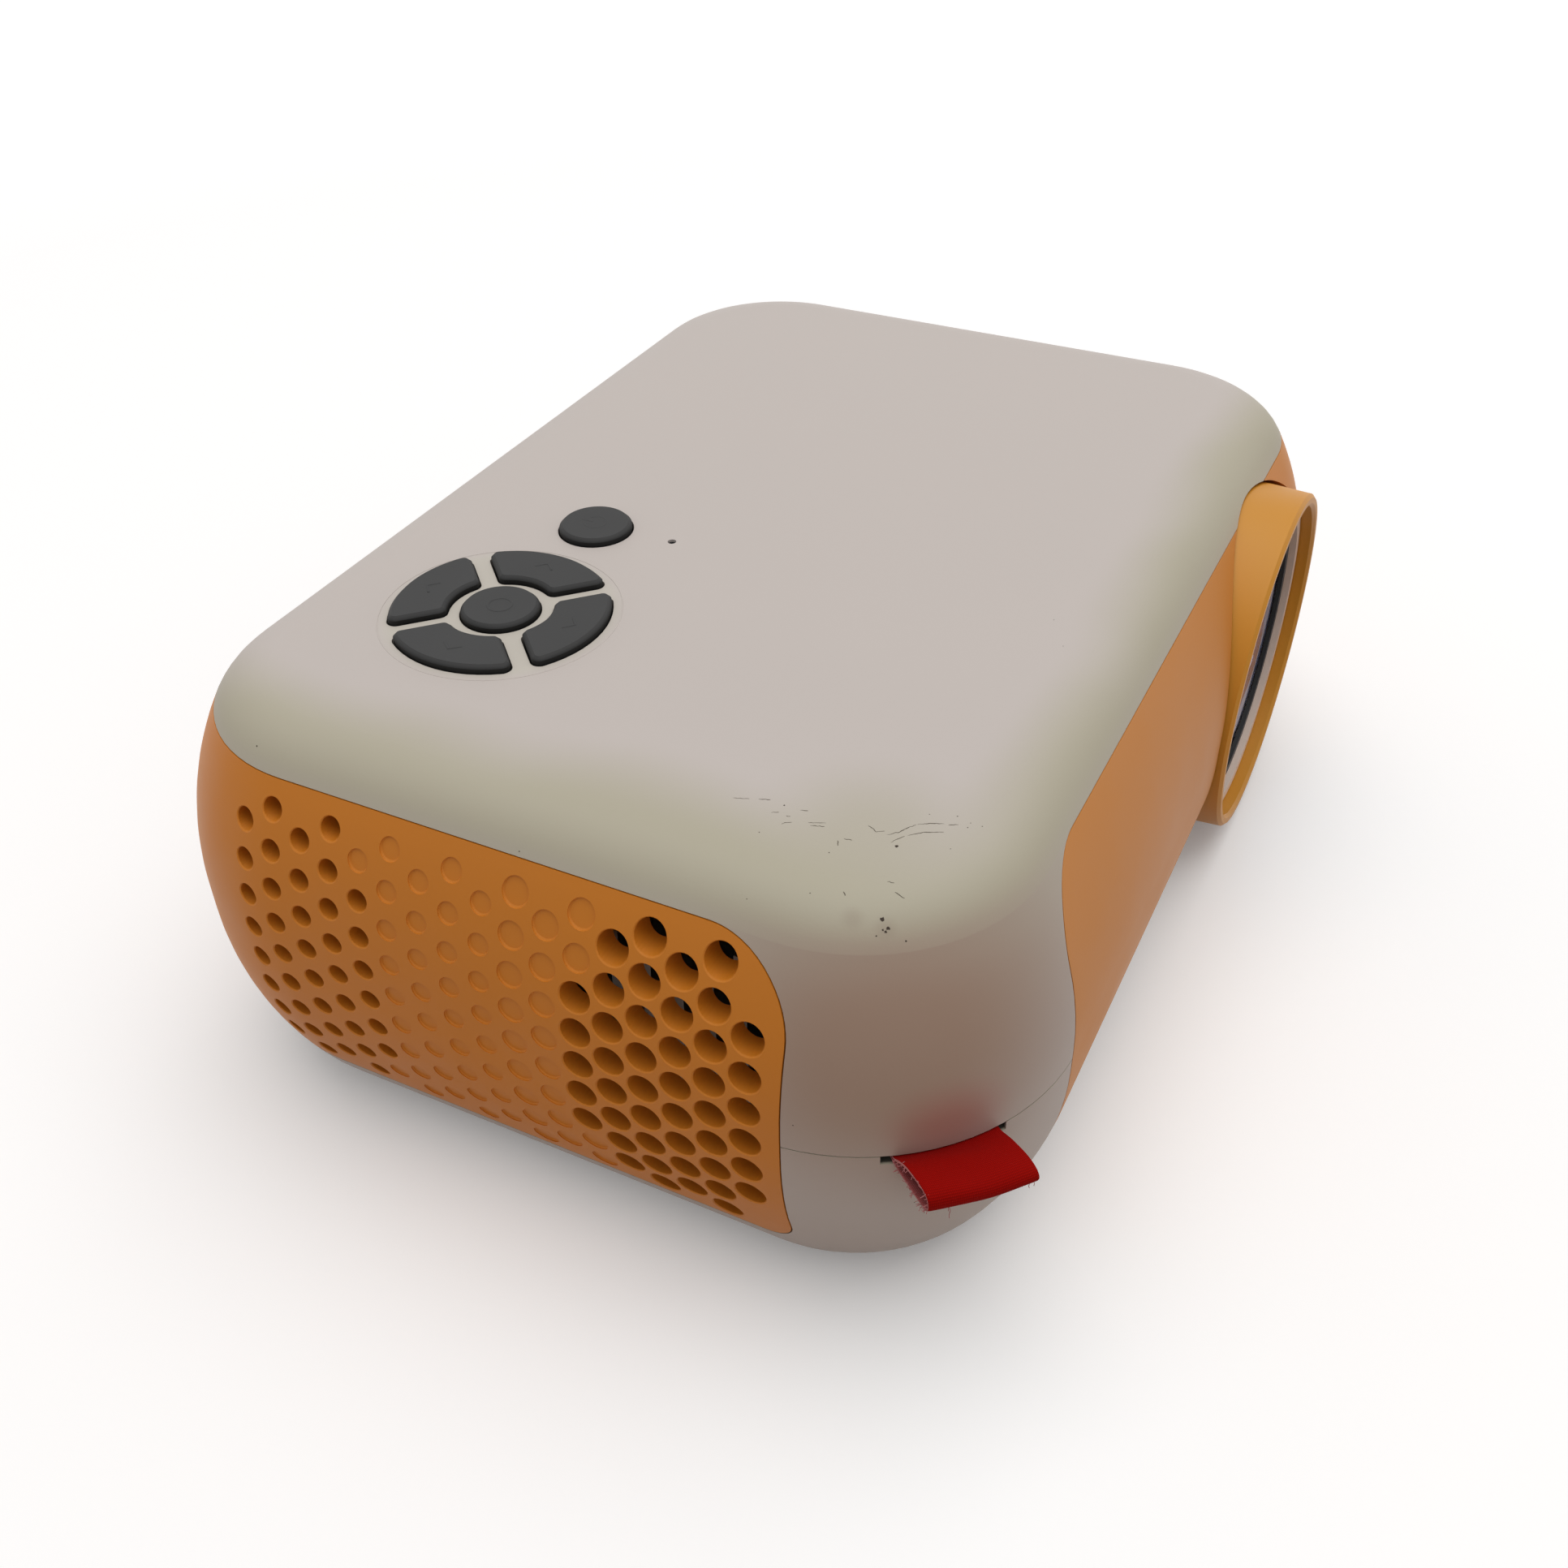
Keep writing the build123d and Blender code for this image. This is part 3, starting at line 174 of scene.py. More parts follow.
back = Vector((
    sin(CAMERA_AZIMUTH) * cos(CAMERA_ELEVATION),
    -cos(CAMERA_AZIMUTH) * cos(CAMERA_ELEVATION),
    sin(CAMERA_ELEVATION),
))
right = Vector((0, 0, 1)).cross(back).normalized()
upward = back.cross(right)
tilted_right = cos(CAMERA_ROLL) * right + sin(CAMERA_ROLL) * upward
tilted_upward = cos(CAMERA_ROLL) * upward - sin(CAMERA_ROLL) * right
camera_axes = Matrix((tilted_right, tilted_upward, back)).transposed().to_4x4()
camera = bpy.data.objects.new("camera", bpy.data.cameras.new("camera"))
camera.matrix_world = Matrix.Translation(CAMERA_PLACE) @ camera_axes
camera.data.sensor_width = SENSOR_WIDTH
camera.data.lens = FOCAL_PIXELS / PHOTO_SIDE * SENSOR_WIDTH
camera.data.shift_x = (PHOTO_SIDE / 2 - PICTURE_MIDDLE[0]) / PHOTO_SIDE
camera.data.shift_y = (PICTURE_MIDDLE[1] - PHOTO_SIDE / 2) / PHOTO_SIDE
camera.data.clip_start = NEAREST_SEEN
bpy.context.scene.collection.objects.link(camera)
bpy.context.scene.camera = camera
bpy.context.scene.view_settings.view_transform = "Standard"

# ---- Top and bottom shells ----
# Two cream shells, injection moulded with a fine spark-eroded grain and screwed together from below.
# The rolled edges carry a painted yellowish shade, and the corner with the tag is scuffed and finely cracked.
MIDDLE = Vector((0.000957, 0.000957, 0.0252))
MILLIMETRE = 0.001
DECK_HEIGHT = 49.2
CREAM = (0.55, 0.495, 0.462)
CREAM_PAINTED_EDGE_SHADE = (0.44, 0.405, 0.31)
CREAM_PAINTED_WARM_SHADE = (0.37, 0.25, 0.185)
CREAM_PAINTED_RED_REFLECTION = (0.38, 0.085, 0.07)
CREAM_PAD = (0.55, 0.52, 0.44)
SLOT_PAINTED_SHADE = (0.09, 0.09, 0.07)
SMUDGE = (0.27, 0.20, 0.15)
CRACK = (0.12, 0.10, 0.075)
GRIME = (0.05, 0.035, 0.025)
GRAIN_SIZE = 0.00035
GRAIN_DEPTH = 0.000012
# The painted yellowish shade starts so far out from the middle towards the near side and towards the
# lens side, and is full a little further on.
EDGE_SHADE_FROM = (0.0451, 0.0300)
EDGE_SHADE_START = 0.0030
EDGE_SHADE_FULL = 0.0130
EDGE_SHADE_STRAY = 0.0030
# How far the skin faces upwards where the painted yellowish and, turning down, warm shade set in and are
# full.
UPPER_SIDE = (0.15, 0.75)
LOWER_SIDE = (0.93, 0.35)
WARM_MOST = 0.95
PAD_MIDDLE = (MIDDLE.x - 0.0333, MIDDLE.y + 0.02075)
CORNER_CENTRE = (MIDDLE.x - 0.0451, MIDDLE.y - 0.0266)
SMUDGE_PLACES = [(-0.0592, -0.0318, 0.0480), (-0.0586, -0.0346, 0.0474)]
SMUDGE_REACH = (0.0014, 0.0014, 0.0014)
# Fine cracks by their plan points, and knocks by place and width, all in millimetres.
CRACKS = [
    [(-50.3, -15.8), (-49.8, -17.2)], [(-49.5, -18.0), (-49.1, -19.0)], [(-50.7, -19.9), (-50.4, -20.5)],
    [(-50.6, -21.3), (-50.5, -21.7)], [(-51.8, -21.5), (-51.5, -21.7), (-51.2, -22.2)],
    [(-49.3, -22.2), (-49.1, -22.8)], [(-50.6, -23.6), (-50.0, -25.0)], [(-50.9, -23.9), (-50.5, -25.1)],
    [(-51.8, -27.0), (-52.4, -27.3)], [(-51.3, -27.4), (-51.2, -28.1)],
    [(-48.7, -28.6), (-49.2, -29.6), (-48.8, -30.2)],
    [(-49.2, -30.6), (-48.3, -31.5), (-47.8, -31.7), (-46.8, -32.4)],
    [(-46.7, -32.5), (-45.9, -33.8), (-45.6, -34.6)], [(-45.6, -35.0), (-45.2, -35.8)],
    [(-48.5, -32.3), (-47.4, -33.5), (-46.7, -35.0)], [(-50.0, -31.3), (-49.3, -31.7), (-48.7, -32.1)],
    [(-54.9, -33.1), (-54.8, -33.7)], [(-55.7, -34.2), (-55.9, -35.2)], [(-57.6, -30.2), (-57.9, -30.5)],
]
KNOCKS = [
    (-50.3, -32.0, 49.2, 0.42), (-58.2, -34.1, 47.9, 0.42), (-58.5, -34.8, 47.4, 0.36),
    (-58.8, -34.4, 47.3, 0.22), (-58.8, -34.7, 47.2, 0.26), (-59.4, -34.1, 47.0, 0.18),
    (-58.4, -36.4, 46.5, 0.22), (-49.3, -20.5, 49.2, 0.20), (-53.6, -27.0, 49.2, 0.14),
    (-44.1, -35.3, 49.2, 0.15), (-44.5, -36.7, 49.2, 0.13), (-45.2, -36.7, 49.2, 0.12),
    (-44.5, -37.8, 49.2, 0.13), (-58.7, -27.6, 48.8, 0.13), (-60.7, -22.5, 47.8, 0.12),
    (-48.6, -36.4, 49.2, 0.11), (-44.9, -32.9, 49.2, 0.11), (-53.7, -20.2, 49.2, 0.14),
    (-62.2, 0.0, 46.2, 0.16), (-60.8, 31.3, 47.3, 0.22), (-67.1, -29.8, 28.8, 0.14),
    (-62.1, -39.8, 17.8, 0.16), (-9.0, -32.4, 49.2, 0.12), (-13.4, -34.9, 49.2, 0.12),
]
CRACK_WIDTH = 0.00011
CRACK_STEP = 0.0002
CRACK_STRAY = 0.00005
CRACK_THINNEST = 0.4
CHIP_CORNERS = 9
CHIP_REACH = (0.55, 1.15)
MARK_LIFT = 0.00001


def moulded_plastic(name, colour, roughness=0.55, grain=GRAIN_DEPTH, blotch=0.05):
    """Moulded plastic in one colour, with faint cloudy blotches and a fine even grain."""
    material = new_material(name)
    place = lay(material, "TexCoord").outputs["Object"]
    cloud = lay(material, "TexNoise", {"Vector": place, "Scale": 38.0, "Detail": 4.0, "Roughness": 0.6})
    cloud = cloud.outputs["Fac"]
    dark = tuple(channel * (1 - blotch) for channel in colour) + (1,)
    light = tuple(min(1, channel * (1 + blotch)) for channel in colour) + (1,)
    pits = lay(material, "TexNoise", {"Vector": place, "Scale": 1 / GRAIN_SIZE, "Detail": 2.0}).outputs["Fac"]
    connect(material, surface_of(material), {
        "Base Color": mixed(material, cloud, dark, light),
        "Roughness": ranged(material, cloud, 0.3, 0.7, roughness - 0.05, roughness + 0.06),
        "Normal": bumped(material, pits, 0.6, grain),
        "Specular IOR Level": 0.35,
    })
    return material


def dress(material, *node_names):
    """Give CAD nodes their finish."""
    for node_name in node_names:
        for place in nodes[node_name].material_slots:
            place.material = material


def patch(material, place, middle, reach, soft):
    """One inside an ellipsoid round middle, fading to zero at its skin."""
    below = tuple(-value for value in middle)
    offset = lay(material, "VectorMath", {0: place, 1: below}, operation="ADD").outputs[0]
    shrink = tuple(1 / value for value in reach)
    scaled = lay(material, "VectorMath", {0: offset, 1: shrink}, operation="MULTIPLY").outputs[0]
    distance = lay(material, "VectorMath", {0: scaled}, operation="LENGTH").outputs["Value"]
    return ranged(material, distance, 1.0, 1.0 - soft, smooth=True)


def paint_over(material, mask, colour):
    """Mix one more colour into the base colour where a mask says."""
    surface = surface_of(material)
    under = surface.inputs["Base Color"].links[0].from_socket
    connect(material, surface, {"Base Color": mixed(material, mask, under, (*colour, 1))})


cream = moulded_plastic("cream_plastic", CREAM, blotch=0.03)
cream_place = lay(cream, "TexCoord").outputs["Object"]
cream_parts = lay(cream, "SeparateXYZ", {0: cream_place}).outputs
cream_upward = lay(cream, "SeparateXYZ", {0: lay(cream, "NewGeometry").outputs["Normal"]}).outputs["Z"]
cloudy = lay(cream, "TexNoise", {"Vector": cream_place, "Scale": 22.0, "Detail": 2.0}).outputs["Fac"]
ragged = ranged(cream, cloudy, 0.3, 0.7, -EDGE_SHADE_STRAY, EDGE_SHADE_STRAY)
outward = {}
for axis in (0, 1):
    inward = joined(cream, "SUBTRACT", MIDDLE[axis] - EDGE_SHADE_FROM[axis], cream_parts[axis])
    outward[axis] = joined(cream, "MAXIMUM", inward, 0.0)
spread = lay(cream, "CombineXYZ", outward).outputs[0]
beyond = lay(cream, "VectorMath", {0: spread}, operation="LENGTH").outputs["Value"]
edge_shade = ranged(cream, joined(cream, "ADD", beyond, ragged), EDGE_SHADE_START, EDGE_SHADE_FULL, smooth=True)
upper_side = ranged(cream, cream_upward, *UPPER_SIDE, smooth=True)
lower_side = ranged(cream, cream_upward, *LOWER_SIDE, 0.0, WARM_MOST, smooth=True)
# Painted yellowish shade on the upward-facing skin near the near side and the lens side.
paint_over(cream, joined(cream, "MULTIPLY", edge_shade, upper_side), CREAM_PAINTED_EDGE_SHADE)
# Each patch has its middle, reach, softness, strength and colour: painted yellowish shade at the corner, the
# pad under the keys, painted warm shade low near the tag, a painted red reflection of the tag above it,
# painted shade in its slot, and two smudges.
stains_and_painted_shade = [
    # Painted yellowish shade over the deck at the corner with the tag.
    ((-0.0500, -0.0290, 0.0490), (0.013, 0.013, 0.006), 0.9, 0.7, CREAM_PAINTED_EDGE_SHADE),
    ((*PAD_MIDDLE, 0.0492), (0.0135, 0.0135, 0.004), 0.15, 0.6, CREAM_PAD),
    # Painted shade with a warm reflected tint on the downward-facing skin low near the tag.
    ((MIDDLE.x - 0.0645, MIDDLE.y - 0.0385, 0.0375), (0.030, 0.026, 0.023), 0.8, lower_side, CREAM_PAINTED_WARM_SHADE),
    # A painted red reflection of the tag on the skin above it.
    ((MIDDLE.x - 0.0616, MIDDLE.y - 0.0431, 0.0285), (0.008, 0.008, 0.006), 0.9, 0.45, CREAM_PAINTED_RED_REFLECTION),
    # Painted shade inside the tag's slot in the parting line.
    ((*CORNER_CENTRE, 0.0249), (0.02328, 0.02328, 0.012), 0.01, 1.0, SLOT_PAINTED_SHADE),
] + [(place, SMUDGE_REACH, 0.9, 0.25, SMUDGE) for place in SMUDGE_PLACES]
for middle, reach, soft, strength, colour in stains_and_painted_shade:
    stain_and_shade_mask = patch(cream, cream_place, middle, reach, soft)
    paint_over(cream, joined(cream, "MULTIPLY", stain_and_shade_mask, strength), colour)
dress(cream, "top_shell", "bottom_shell")

scuffing = random.Random(11)
skins = []
for node_name in ("top_shell", "bottom_shell"):
    shell = nodes[node_name].data
    skins.append(BVHTree.FromPolygons([corner.co for corner in shell.vertices],
                                      [tuple(face.vertices) for face in shell.polygons]))


def on_skin(place):
    """The nearest place on the shells' skin, and the way it faces."""
    found = min((skin.find_nearest(place) for skin in skins), key=lambda hit: hit[3])
    return found[0] + found[1] * MARK_LIFT, found[1]


def shaken(chance, reach):
    """A small step in any direction, drawn by chance."""
    return Vector([chance.uniform(-reach, reach) for axis in range(3)])


def crack(mesh, points, width):
    """Add one hairline to the skin: a narrow crooked sliver, pointed at both ends."""
    path = []
    for start, end in zip(points, points[1:]):
        steps = max(3, int((end - start).length / CRACK_STEP))
        for step in range(steps):
            path.append(start.lerp(end, step / steps) + shaken(scuffing, CRACK_STRAY))
    path.append(points[-1])
    sides = []
    for index, point in enumerate(path):
        place, facing = on_skin(point)
        ahead = path[min(index + 1, len(path) - 1)] - path[max(index - 1, 0)]
        half = width / 2 * sin(pi * (index + 0.3) / len(path)) ** 0.5 * scuffing.uniform(CRACK_THINNEST, 1.0)
        across = facing.cross(ahead).normalized() * half
        sides.append((mesh.verts.new(place + across), mesh.verts.new(place - across)))
    for (a, b), (c, d) in zip(sides, sides[1:]):
        mesh.faces.new((a, b, d, c))


def knock(mesh, middle, width):
    """Add one small ragged chip to the skin."""
    place, facing = on_skin(middle)
    first = facing.orthogonal().normalized()
    second = facing.cross(first)
    outline = []
    for step in range(CHIP_CORNERS):
        turn = 2 * pi * step / CHIP_CORNERS
        reach = width / 2 * scuffing.uniform(*CHIP_REACH)
        edge = on_skin(place + (first * cos(turn) + second * sin(turn)) * reach)[0]
        outline.append(mesh.verts.new(edge))
    mesh.faces.new(outline)


crack_grime = moulded_plastic("crack_grime", CRACK, roughness=0.8, blotch=0.3)
cracks = bmesh.new()
for points in CRACKS:
    crack(cracks, [Vector((x, y, DECK_HEIGHT)) * MILLIMETRE for x, y in points], CRACK_WIDTH)
mesh_piece("corner_cracks", cracks, crack_grime, "case")
knock_grime = moulded_plastic("knock_grime", GRIME, roughness=0.8, blotch=0.3)
knocks = bmesh.new()
for x, y, z, width in KNOCKS:
    knock(knocks, Vector((x, y, z)) * MILLIMETRE, width * MILLIMETRE)
mesh_piece("corner_knocks", knocks, knock_grime, "case")

# ---- Side and front panels ----
# Orange wrap-round panels, moulded apart and snapped into the shells with a hairline seam.
# The side panel has a field of holes for air and sound, joined by a field of shallow blind dimples.
ORANGE = (0.62, 0.205, 0.014)
ORANGE_FADED = (0.60, 0.235, 0.048)
# The barrel-shaped skin that the holes start from.
HALF_WIDTH = 0.0685
SIDE_RADIUS = 0.03863
HALF_BAND = 0.0015
CORNER_START = 0.0266
CORNER_RADIUS = 0.0234
# The lattice: columns 1 to 6 are large holes, 7 to 12 dimples and 13 to 17 small holes.
LATTICE_ROWS = 17
LATTICE_COLUMNS = 17
LATTICE_STEP = 0.00408 * sin(pi / 3)
LATTICE_DROP = 0.00204
LATTICE_FRONT = 0.02598
LATTICE_MIDDLE = 0.0265
LARGE_HOLE = 0.00165
SMALL_HOLE = 0.00115
LARGE_DIMPLE = 0.00145
SMALL_DIMPLE = 0.00118
DIMPLE_DEPTH = 0.00024
INTAKE_MIDDLE = (MIDDLE.y + 0.0080, 0.0254)
INTAKE_RADIUS = 0.0020
INTAKE_STEP = 0.0056
INTAKE_HALF = 2
RIM_ROUND = 0.00012
CUT_THROUGH = 0.006
CUT_ABOVE = 0.001
HOLE_FACETS = 28
JOIN_WITHIN = 2e-6

orange = moulded_plastic("orange_plastic", ORANGE, roughness=0.5, blotch=0.04)
orange_faded = moulded_plastic("orange_plastic_faded", ORANGE_FADED, roughness=0.5, blotch=0.04)
dress(orange, "side_panel")
dress(orange_faded, "front_panel")


def side_skin(y, z):
    """X of the side panel's outer skin at a place on it."""
    rise = max(0, abs(z - MIDDLE.z) - HALF_BAND)
    sunk = SIDE_RADIUS - sqrt(SIDE_RADIUS ** 2 - rise ** 2)
    beyond = max(0, abs(y - MIDDLE.y) - CORNER_START)
    turned = CORNER_RADIUS - sunk
    return MIDDLE.x - HALF_WIDTH + CORNER_RADIUS - sqrt(turned ** 2 - beyond ** 2)


def skin_over(mesh, rings, closed=False):
    """Lay faces between neighbouring rings of points, and over both ends unless the row is closed."""
    for first, second in zip(rings, rings[1:] + rings[:1] if closed else rings[1:]):
        for step in range(len(first)):
            after = (step + 1) % len(first)
            mesh.faces.new((first[step], first[after], second[after], second[step]))
    if not closed:
        mesh.faces.new(rings[0][::-1])
        mesh.faces.new(rings[-1])


def bore(mesh, y, z, profile, mirrored=False):
    """Add one round cutter along X, or its mirror image: profile lists depths below the skin and radii."""
    rings = []
    for depth, radius in profile:
        ring = []
        for step in range(HOLE_FACETS):
            turn = 2 * pi * step / HOLE_FACETS
            across = y + radius * cos(turn)
            height = z + radius * sin(turn)
            x = side_skin(across, height) + depth
            ring.append(mesh.verts.new((2 * MIDDLE.x - x if mirrored else x, across, height)))
        rings.append(ring)
    skin_over(mesh, rings)


def through(radius):
    """The profile of a hole through the whole wall, with a rounded rim."""
    return [(CUT_THROUGH, radius), (RIM_ROUND, radius), (0, radius + RIM_ROUND),
            (-CUT_ABOVE, radius + 3 * RIM_ROUND)]


def cut_with(node_name, name, cutters, material, crease):
    """Cut a CAD node with the cutters of a mesh, which stay hidden, and crease edges over so many degrees."""
    cutter = mesh_piece(name, cutters, material, solid=True)
    cutter.hide_render = True
    cutter.hide_viewport = True
    changes = nodes[node_name].modifiers
    changes.new("join", "WELD").merge_threshold = JOIN_WITHIN
    cut = changes.new("cut", "BOOLEAN")
    cut.object = cutter
    cut.solver = "EXACT"
    cut.material_mode = "INDEX"
    changes.new("crease", "EDGE_SPLIT").split_angle = radians(crease)


side_drill = bmesh.new()
for row in range(LATTICE_ROWS):
    for column in range(1, LATTICE_COLUMNS + 1):
        end_row = not 3 <= row <= 13
        if (row + column) % 2 or (column == 1 and end_row):
            continue
        across = MIDDLE.y - LATTICE_FRONT + LATTICE_STEP * (column - 1)
        height = LATTICE_MIDDLE + (LATTICE_ROWS // 2 - row) * LATTICE_DROP
        # In the end rows the dimples take one column more on each side.
        if (column < 7 or column > 12) and not (column in (6, 13) and end_row):
            bore(side_drill, across, height, through(LARGE_HOLE if column < 7 else SMALL_HOLE))
        else:
            radius = LARGE_DIMPLE if column < 9 else SMALL_DIMPLE
            floor = [(DIMPLE_DEPTH, radius - RIM_ROUND), (DIMPLE_DEPTH - RIM_ROUND, radius)]
            bore(side_drill, across, height, floor + [(-CUT_ABOVE, radius)])
cut_with("side_panel", "side_drill", side_drill, orange, crease=28)

fan_drill = bmesh.new()
for row in range(-INTAKE_HALF, INTAKE_HALF + 1):
    count = 2 * INTAKE_HALF + 1 - abs(row)
    for place in range(count):
        across = INTAKE_MIDDLE[0] + INTAKE_STEP * (place - (count - 1) / 2)
        height = INTAKE_MIDDLE[1] + INTAKE_STEP * sin(pi / 3) * row
        bore(fan_drill, across, height, through(INTAKE_RADIUS), mirrored=True)
cut_with("front_panel", "fan_drill", fan_drill, orange_faded, crease=28)

# ---- Keys ----
# Four arc keys and a round one between them, with the power key beside: soft dark grey caps.
# Each stands proud of the deck with rounded edges and a faint raised mark moulded into its top.
KEY_GREY = (0.043, 0.043, 0.043)
KEY_FLANK_PAINTED_SHADE = (0.008, 0.008, 0.008)
KEY_TURNS = {"right_key": 0, "up_key": 90, "left_key": 180, "down_key": 270}
POWER_MIDDLE = (MIDDLE.x - 0.0134, MIDDLE.y + 0.02095)
KEY_TOP = 0.0501
KEY_ROUND = 0.00040
ARC_MIDDLE = 0.0089
FLANK_START = 0.00010
FLANK_FULL = 0.00050
MARK_WIDTH = 0.00034
MARK_HEIGHT = 0.00004
MARK_SUNK = 0.00003
MARK_RADIUS = 0.0013
CHEVRON = [(-0.0011, -0.0004), (0, 0.0006), (0.0011, -0.0004)]
POWER_LINE = (0.0003, 0.0018)
PAD_RIM_RADIUS = 0.0131
PAD_RIM_WIDTH = 0.0002
PAD_RIM_LEVELS = (0.04917, 0.04924)

key_grey = moulded_plastic("key_plastic", KEY_GREY, roughness=0.62, blotch=0.06)
connect(key_grey, surface_of(key_grey), {"Specular IOR Level": 0.25})
key_height = lay(key_grey, "SeparateXYZ", {0: lay(key_grey, "TexCoord").outputs["Object"]}).outputs["Z"]
# Painted shade: each key darkens from just under its top down its flanks towards the deck.
key_flank_shade = ranged(key_grey, key_height, KEY_TOP - FLANK_START, KEY_TOP - FLANK_FULL, smooth=True)
paint_over(key_grey, key_flank_shade, KEY_FLANK_PAINTED_SHADE)


def soften(node_name, width, segments=3, angle=25):
    """Round the sharp edges of a CAD node, as its mould or tool leaves them."""
    changes = nodes[node_name].modifiers
    changes.new("join", "WELD").merge_threshold = JOIN_WITHIN
    edge = changes.new("edge", "BEVEL")
    edge.width = width
    edge.segments = segments
    edge.limit_method = "ANGLE"
    edge.angle_limit = radians(angle)
    changes.new("even", "WEIGHTED_NORMAL").keep_sharp = False


def stroke(mesh, points, width, low, high, closed=False):
    """Add one raised line of a mark: a flat-topped bead with sloping flanks along its points."""
    count = len(points)
    rings = []
    for index, point in enumerate(points):
        here = Vector(point)
        before = Vector(points[index - 1]) if index or closed else here
        after = Vector(points[(index + 1) % count]) if index < count - 1 or closed else here
        along = (after - before).normalized()
        side = Vector((-along.y, along.x))
        ring = []
        for reach, height in ((-0.5, low), (-0.28, high), (0.28, high), (0.5, low)):
            place = here + side * reach * width
            ring.append(mesh.verts.new((place.x, place.y, height)))
        rings.append(ring)
    skin_over(mesh, rings, closed)


def arc(middle, radius, start, end, steps):
    """Points along part of a circle, from one angle to another in degrees."""
    turns = [radians(start + (end - start) * step / steps) for step in range(steps + 1)]
    return [(middle[0] + radius * cos(turn), middle[1] + radius * sin(turn)) for turn in turns]


for key in list(KEY_TURNS) + ["centre_key", "power_key"]:
    dress(key_grey, key)
    soften(key, KEY_ROUND, segments=5)
    mark = bmesh.new()
    mark_low = KEY_TOP - MARK_SUNK
    mark_high = KEY_TOP + MARK_HEIGHT * (0.4 if key == "power_key" else 1)
    if key in KEY_TURNS:
        turn = Matrix.Rotation(radians(KEY_TURNS[key] - 90), 2)
        bend = [Vector(PAD_MIDDLE) + turn @ (Vector(point) + Vector((0, ARC_MIDDLE))) for point in CHEVRON]
        stroke(mark, bend, MARK_WIDTH, mark_low, mark_high)
    elif key == "centre_key":
        whole_ring = arc(PAD_MIDDLE, MARK_RADIUS, 0, 345, 40)[:-1]
        stroke(mark, whole_ring, MARK_WIDTH, mark_low, mark_high, closed=True)
    else:
        stroke(mark, arc(POWER_MIDDLE, MARK_RADIUS, 125, 415, 32), MARK_WIDTH, mark_low, mark_high)
        upright = [(POWER_MIDDLE[0], POWER_MIDDLE[1] + rise) for rise in POWER_LINE]
        stroke(mark, upright, MARK_WIDTH, mark_low, mark_high)
    mesh_piece(key + "_mark", mark, key_grey, key, solid=True)

# A hairline rim is moulded into the deck round the four arc keys.
rim = bmesh.new()
stroke(rim, arc(PAD_MIDDLE, PAD_RIM_RADIUS, 0, 360, 96)[:-1], PAD_RIM_WIDTH, *PAD_RIM_LEVELS, closed=True)
mesh_piece("pad_rim", rim, cream, "case", solid=True)

# ---- Lens group ----
# An orange focus ring turns round a pale barrel that slides in a black guide sleeve. The barrel holds
# two coated glass lenses, the front one behind a black retaining ring.
ORANGE_RING = (0.60, 0.255, 0.018)
BARREL_WITH_PAINTED_BOUNCE = (0.84, 0.68, 0.58)
BLACK = (0.018, 0.018, 0.019)
GLASS_TINT = (0.80, 0.84, 0.90, 1)
GLASS_DUSTY = (0.72, 0.756, 0.81, 1)
GLASS_COAT = (0.35, 0.45, 0.80, 1)

black = moulded_plastic("black_plastic", BLACK, roughness=0.5, blotch=0.15)
# The barrel's pale colour is warmed by a painted orange reflection from the focus ring.
pale = moulded_plastic("white_plastic", BARREL_WITH_PAINTED_BOUNCE, roughness=0.42, blotch=0.03)
orange_ring = moulded_plastic("orange_plastic_ring", ORANGE_RING, roughness=0.45, blotch=0.03)
# Polished optical glass, with a thin coating and the least trace of dust.
glass = new_material("optical_glass")
glass_place = lay(glass, "TexCoord").outputs["Object"]
dust = lay(glass, "TexNoise", {"Vector": glass_place, "Scale": 900.0, "Detail": 6.0}).outputs["Fac"]
connect(glass, surface_of(glass), {
    "Base Color": mixed(glass, dust, GLASS_TINT, GLASS_DUSTY),
    "Roughness": ranged(glass, dust, 0.55, 0.8, 0.02, 0.14),
    "Transmission Weight": 1.0,
    "IOR": 1.5,
    "Coat Weight": 0.4,
    "Coat Tint": GLASS_COAT,
})
dress(orange_ring, "focus_ring")
dress(pale, "lens_barrel")
dress(glass, "front_lens", "rear_lens", "field_lens", "condenser_lens", "heat_filter", "light_pipe")
dress(black, "lens_retainer", "lens_mount")

# ---- Optical box ----
# A black trough with a lid, which carries the light from the lamp to the fold mirror in front of the
# barrel: a silvered mirror, the picture panel with its dark window, and the plates beside it.
BOX_BLACK = (0.022, 0.022, 0.023)
SILVER_DULL = (0.84, 0.85, 0.87, 1)
SILVER_BRIGHT = (0.88, 0.89, 0.90, 1)
COMPONENT_BLACK = (0.04, 0.04, 0.045)

optical_black = moulded_plastic("box_plastic", BOX_BLACK, roughness=0.65, blotch=0.2)
dress(optical_black, "optical_box", "optical_box_cover")
silver = new_material("mirror_glass")
haze = lay(silver, "TexNoise", {"Scale": 400.0, "Detail": 4.0}).outputs["Fac"]
connect(silver, surface_of(silver), {
    "Base Color": mixed(silver, haze, SILVER_DULL, SILVER_BRIGHT),
    "Roughness": ranged(silver, haze, 0.0, 1.0, 0.02, 0.07),
    "Metallic": 1.0,
})
dress(silver, "fold_mirror")
component_black = moulded_plastic("component_plastic", COMPONENT_BLACK, roughness=0.45, blotch=0.15)
dress(component_black, "lcd_panel")

# ---- Lamp and heat sink ----
# A white ceramic lamp under a clear dome, screwed to an extruded aluminium sink. The plain fins, darkened
# with painted shade, stand right behind the large holes of the side panel.
CERAMIC = (0.80, 0.74, 0.38)
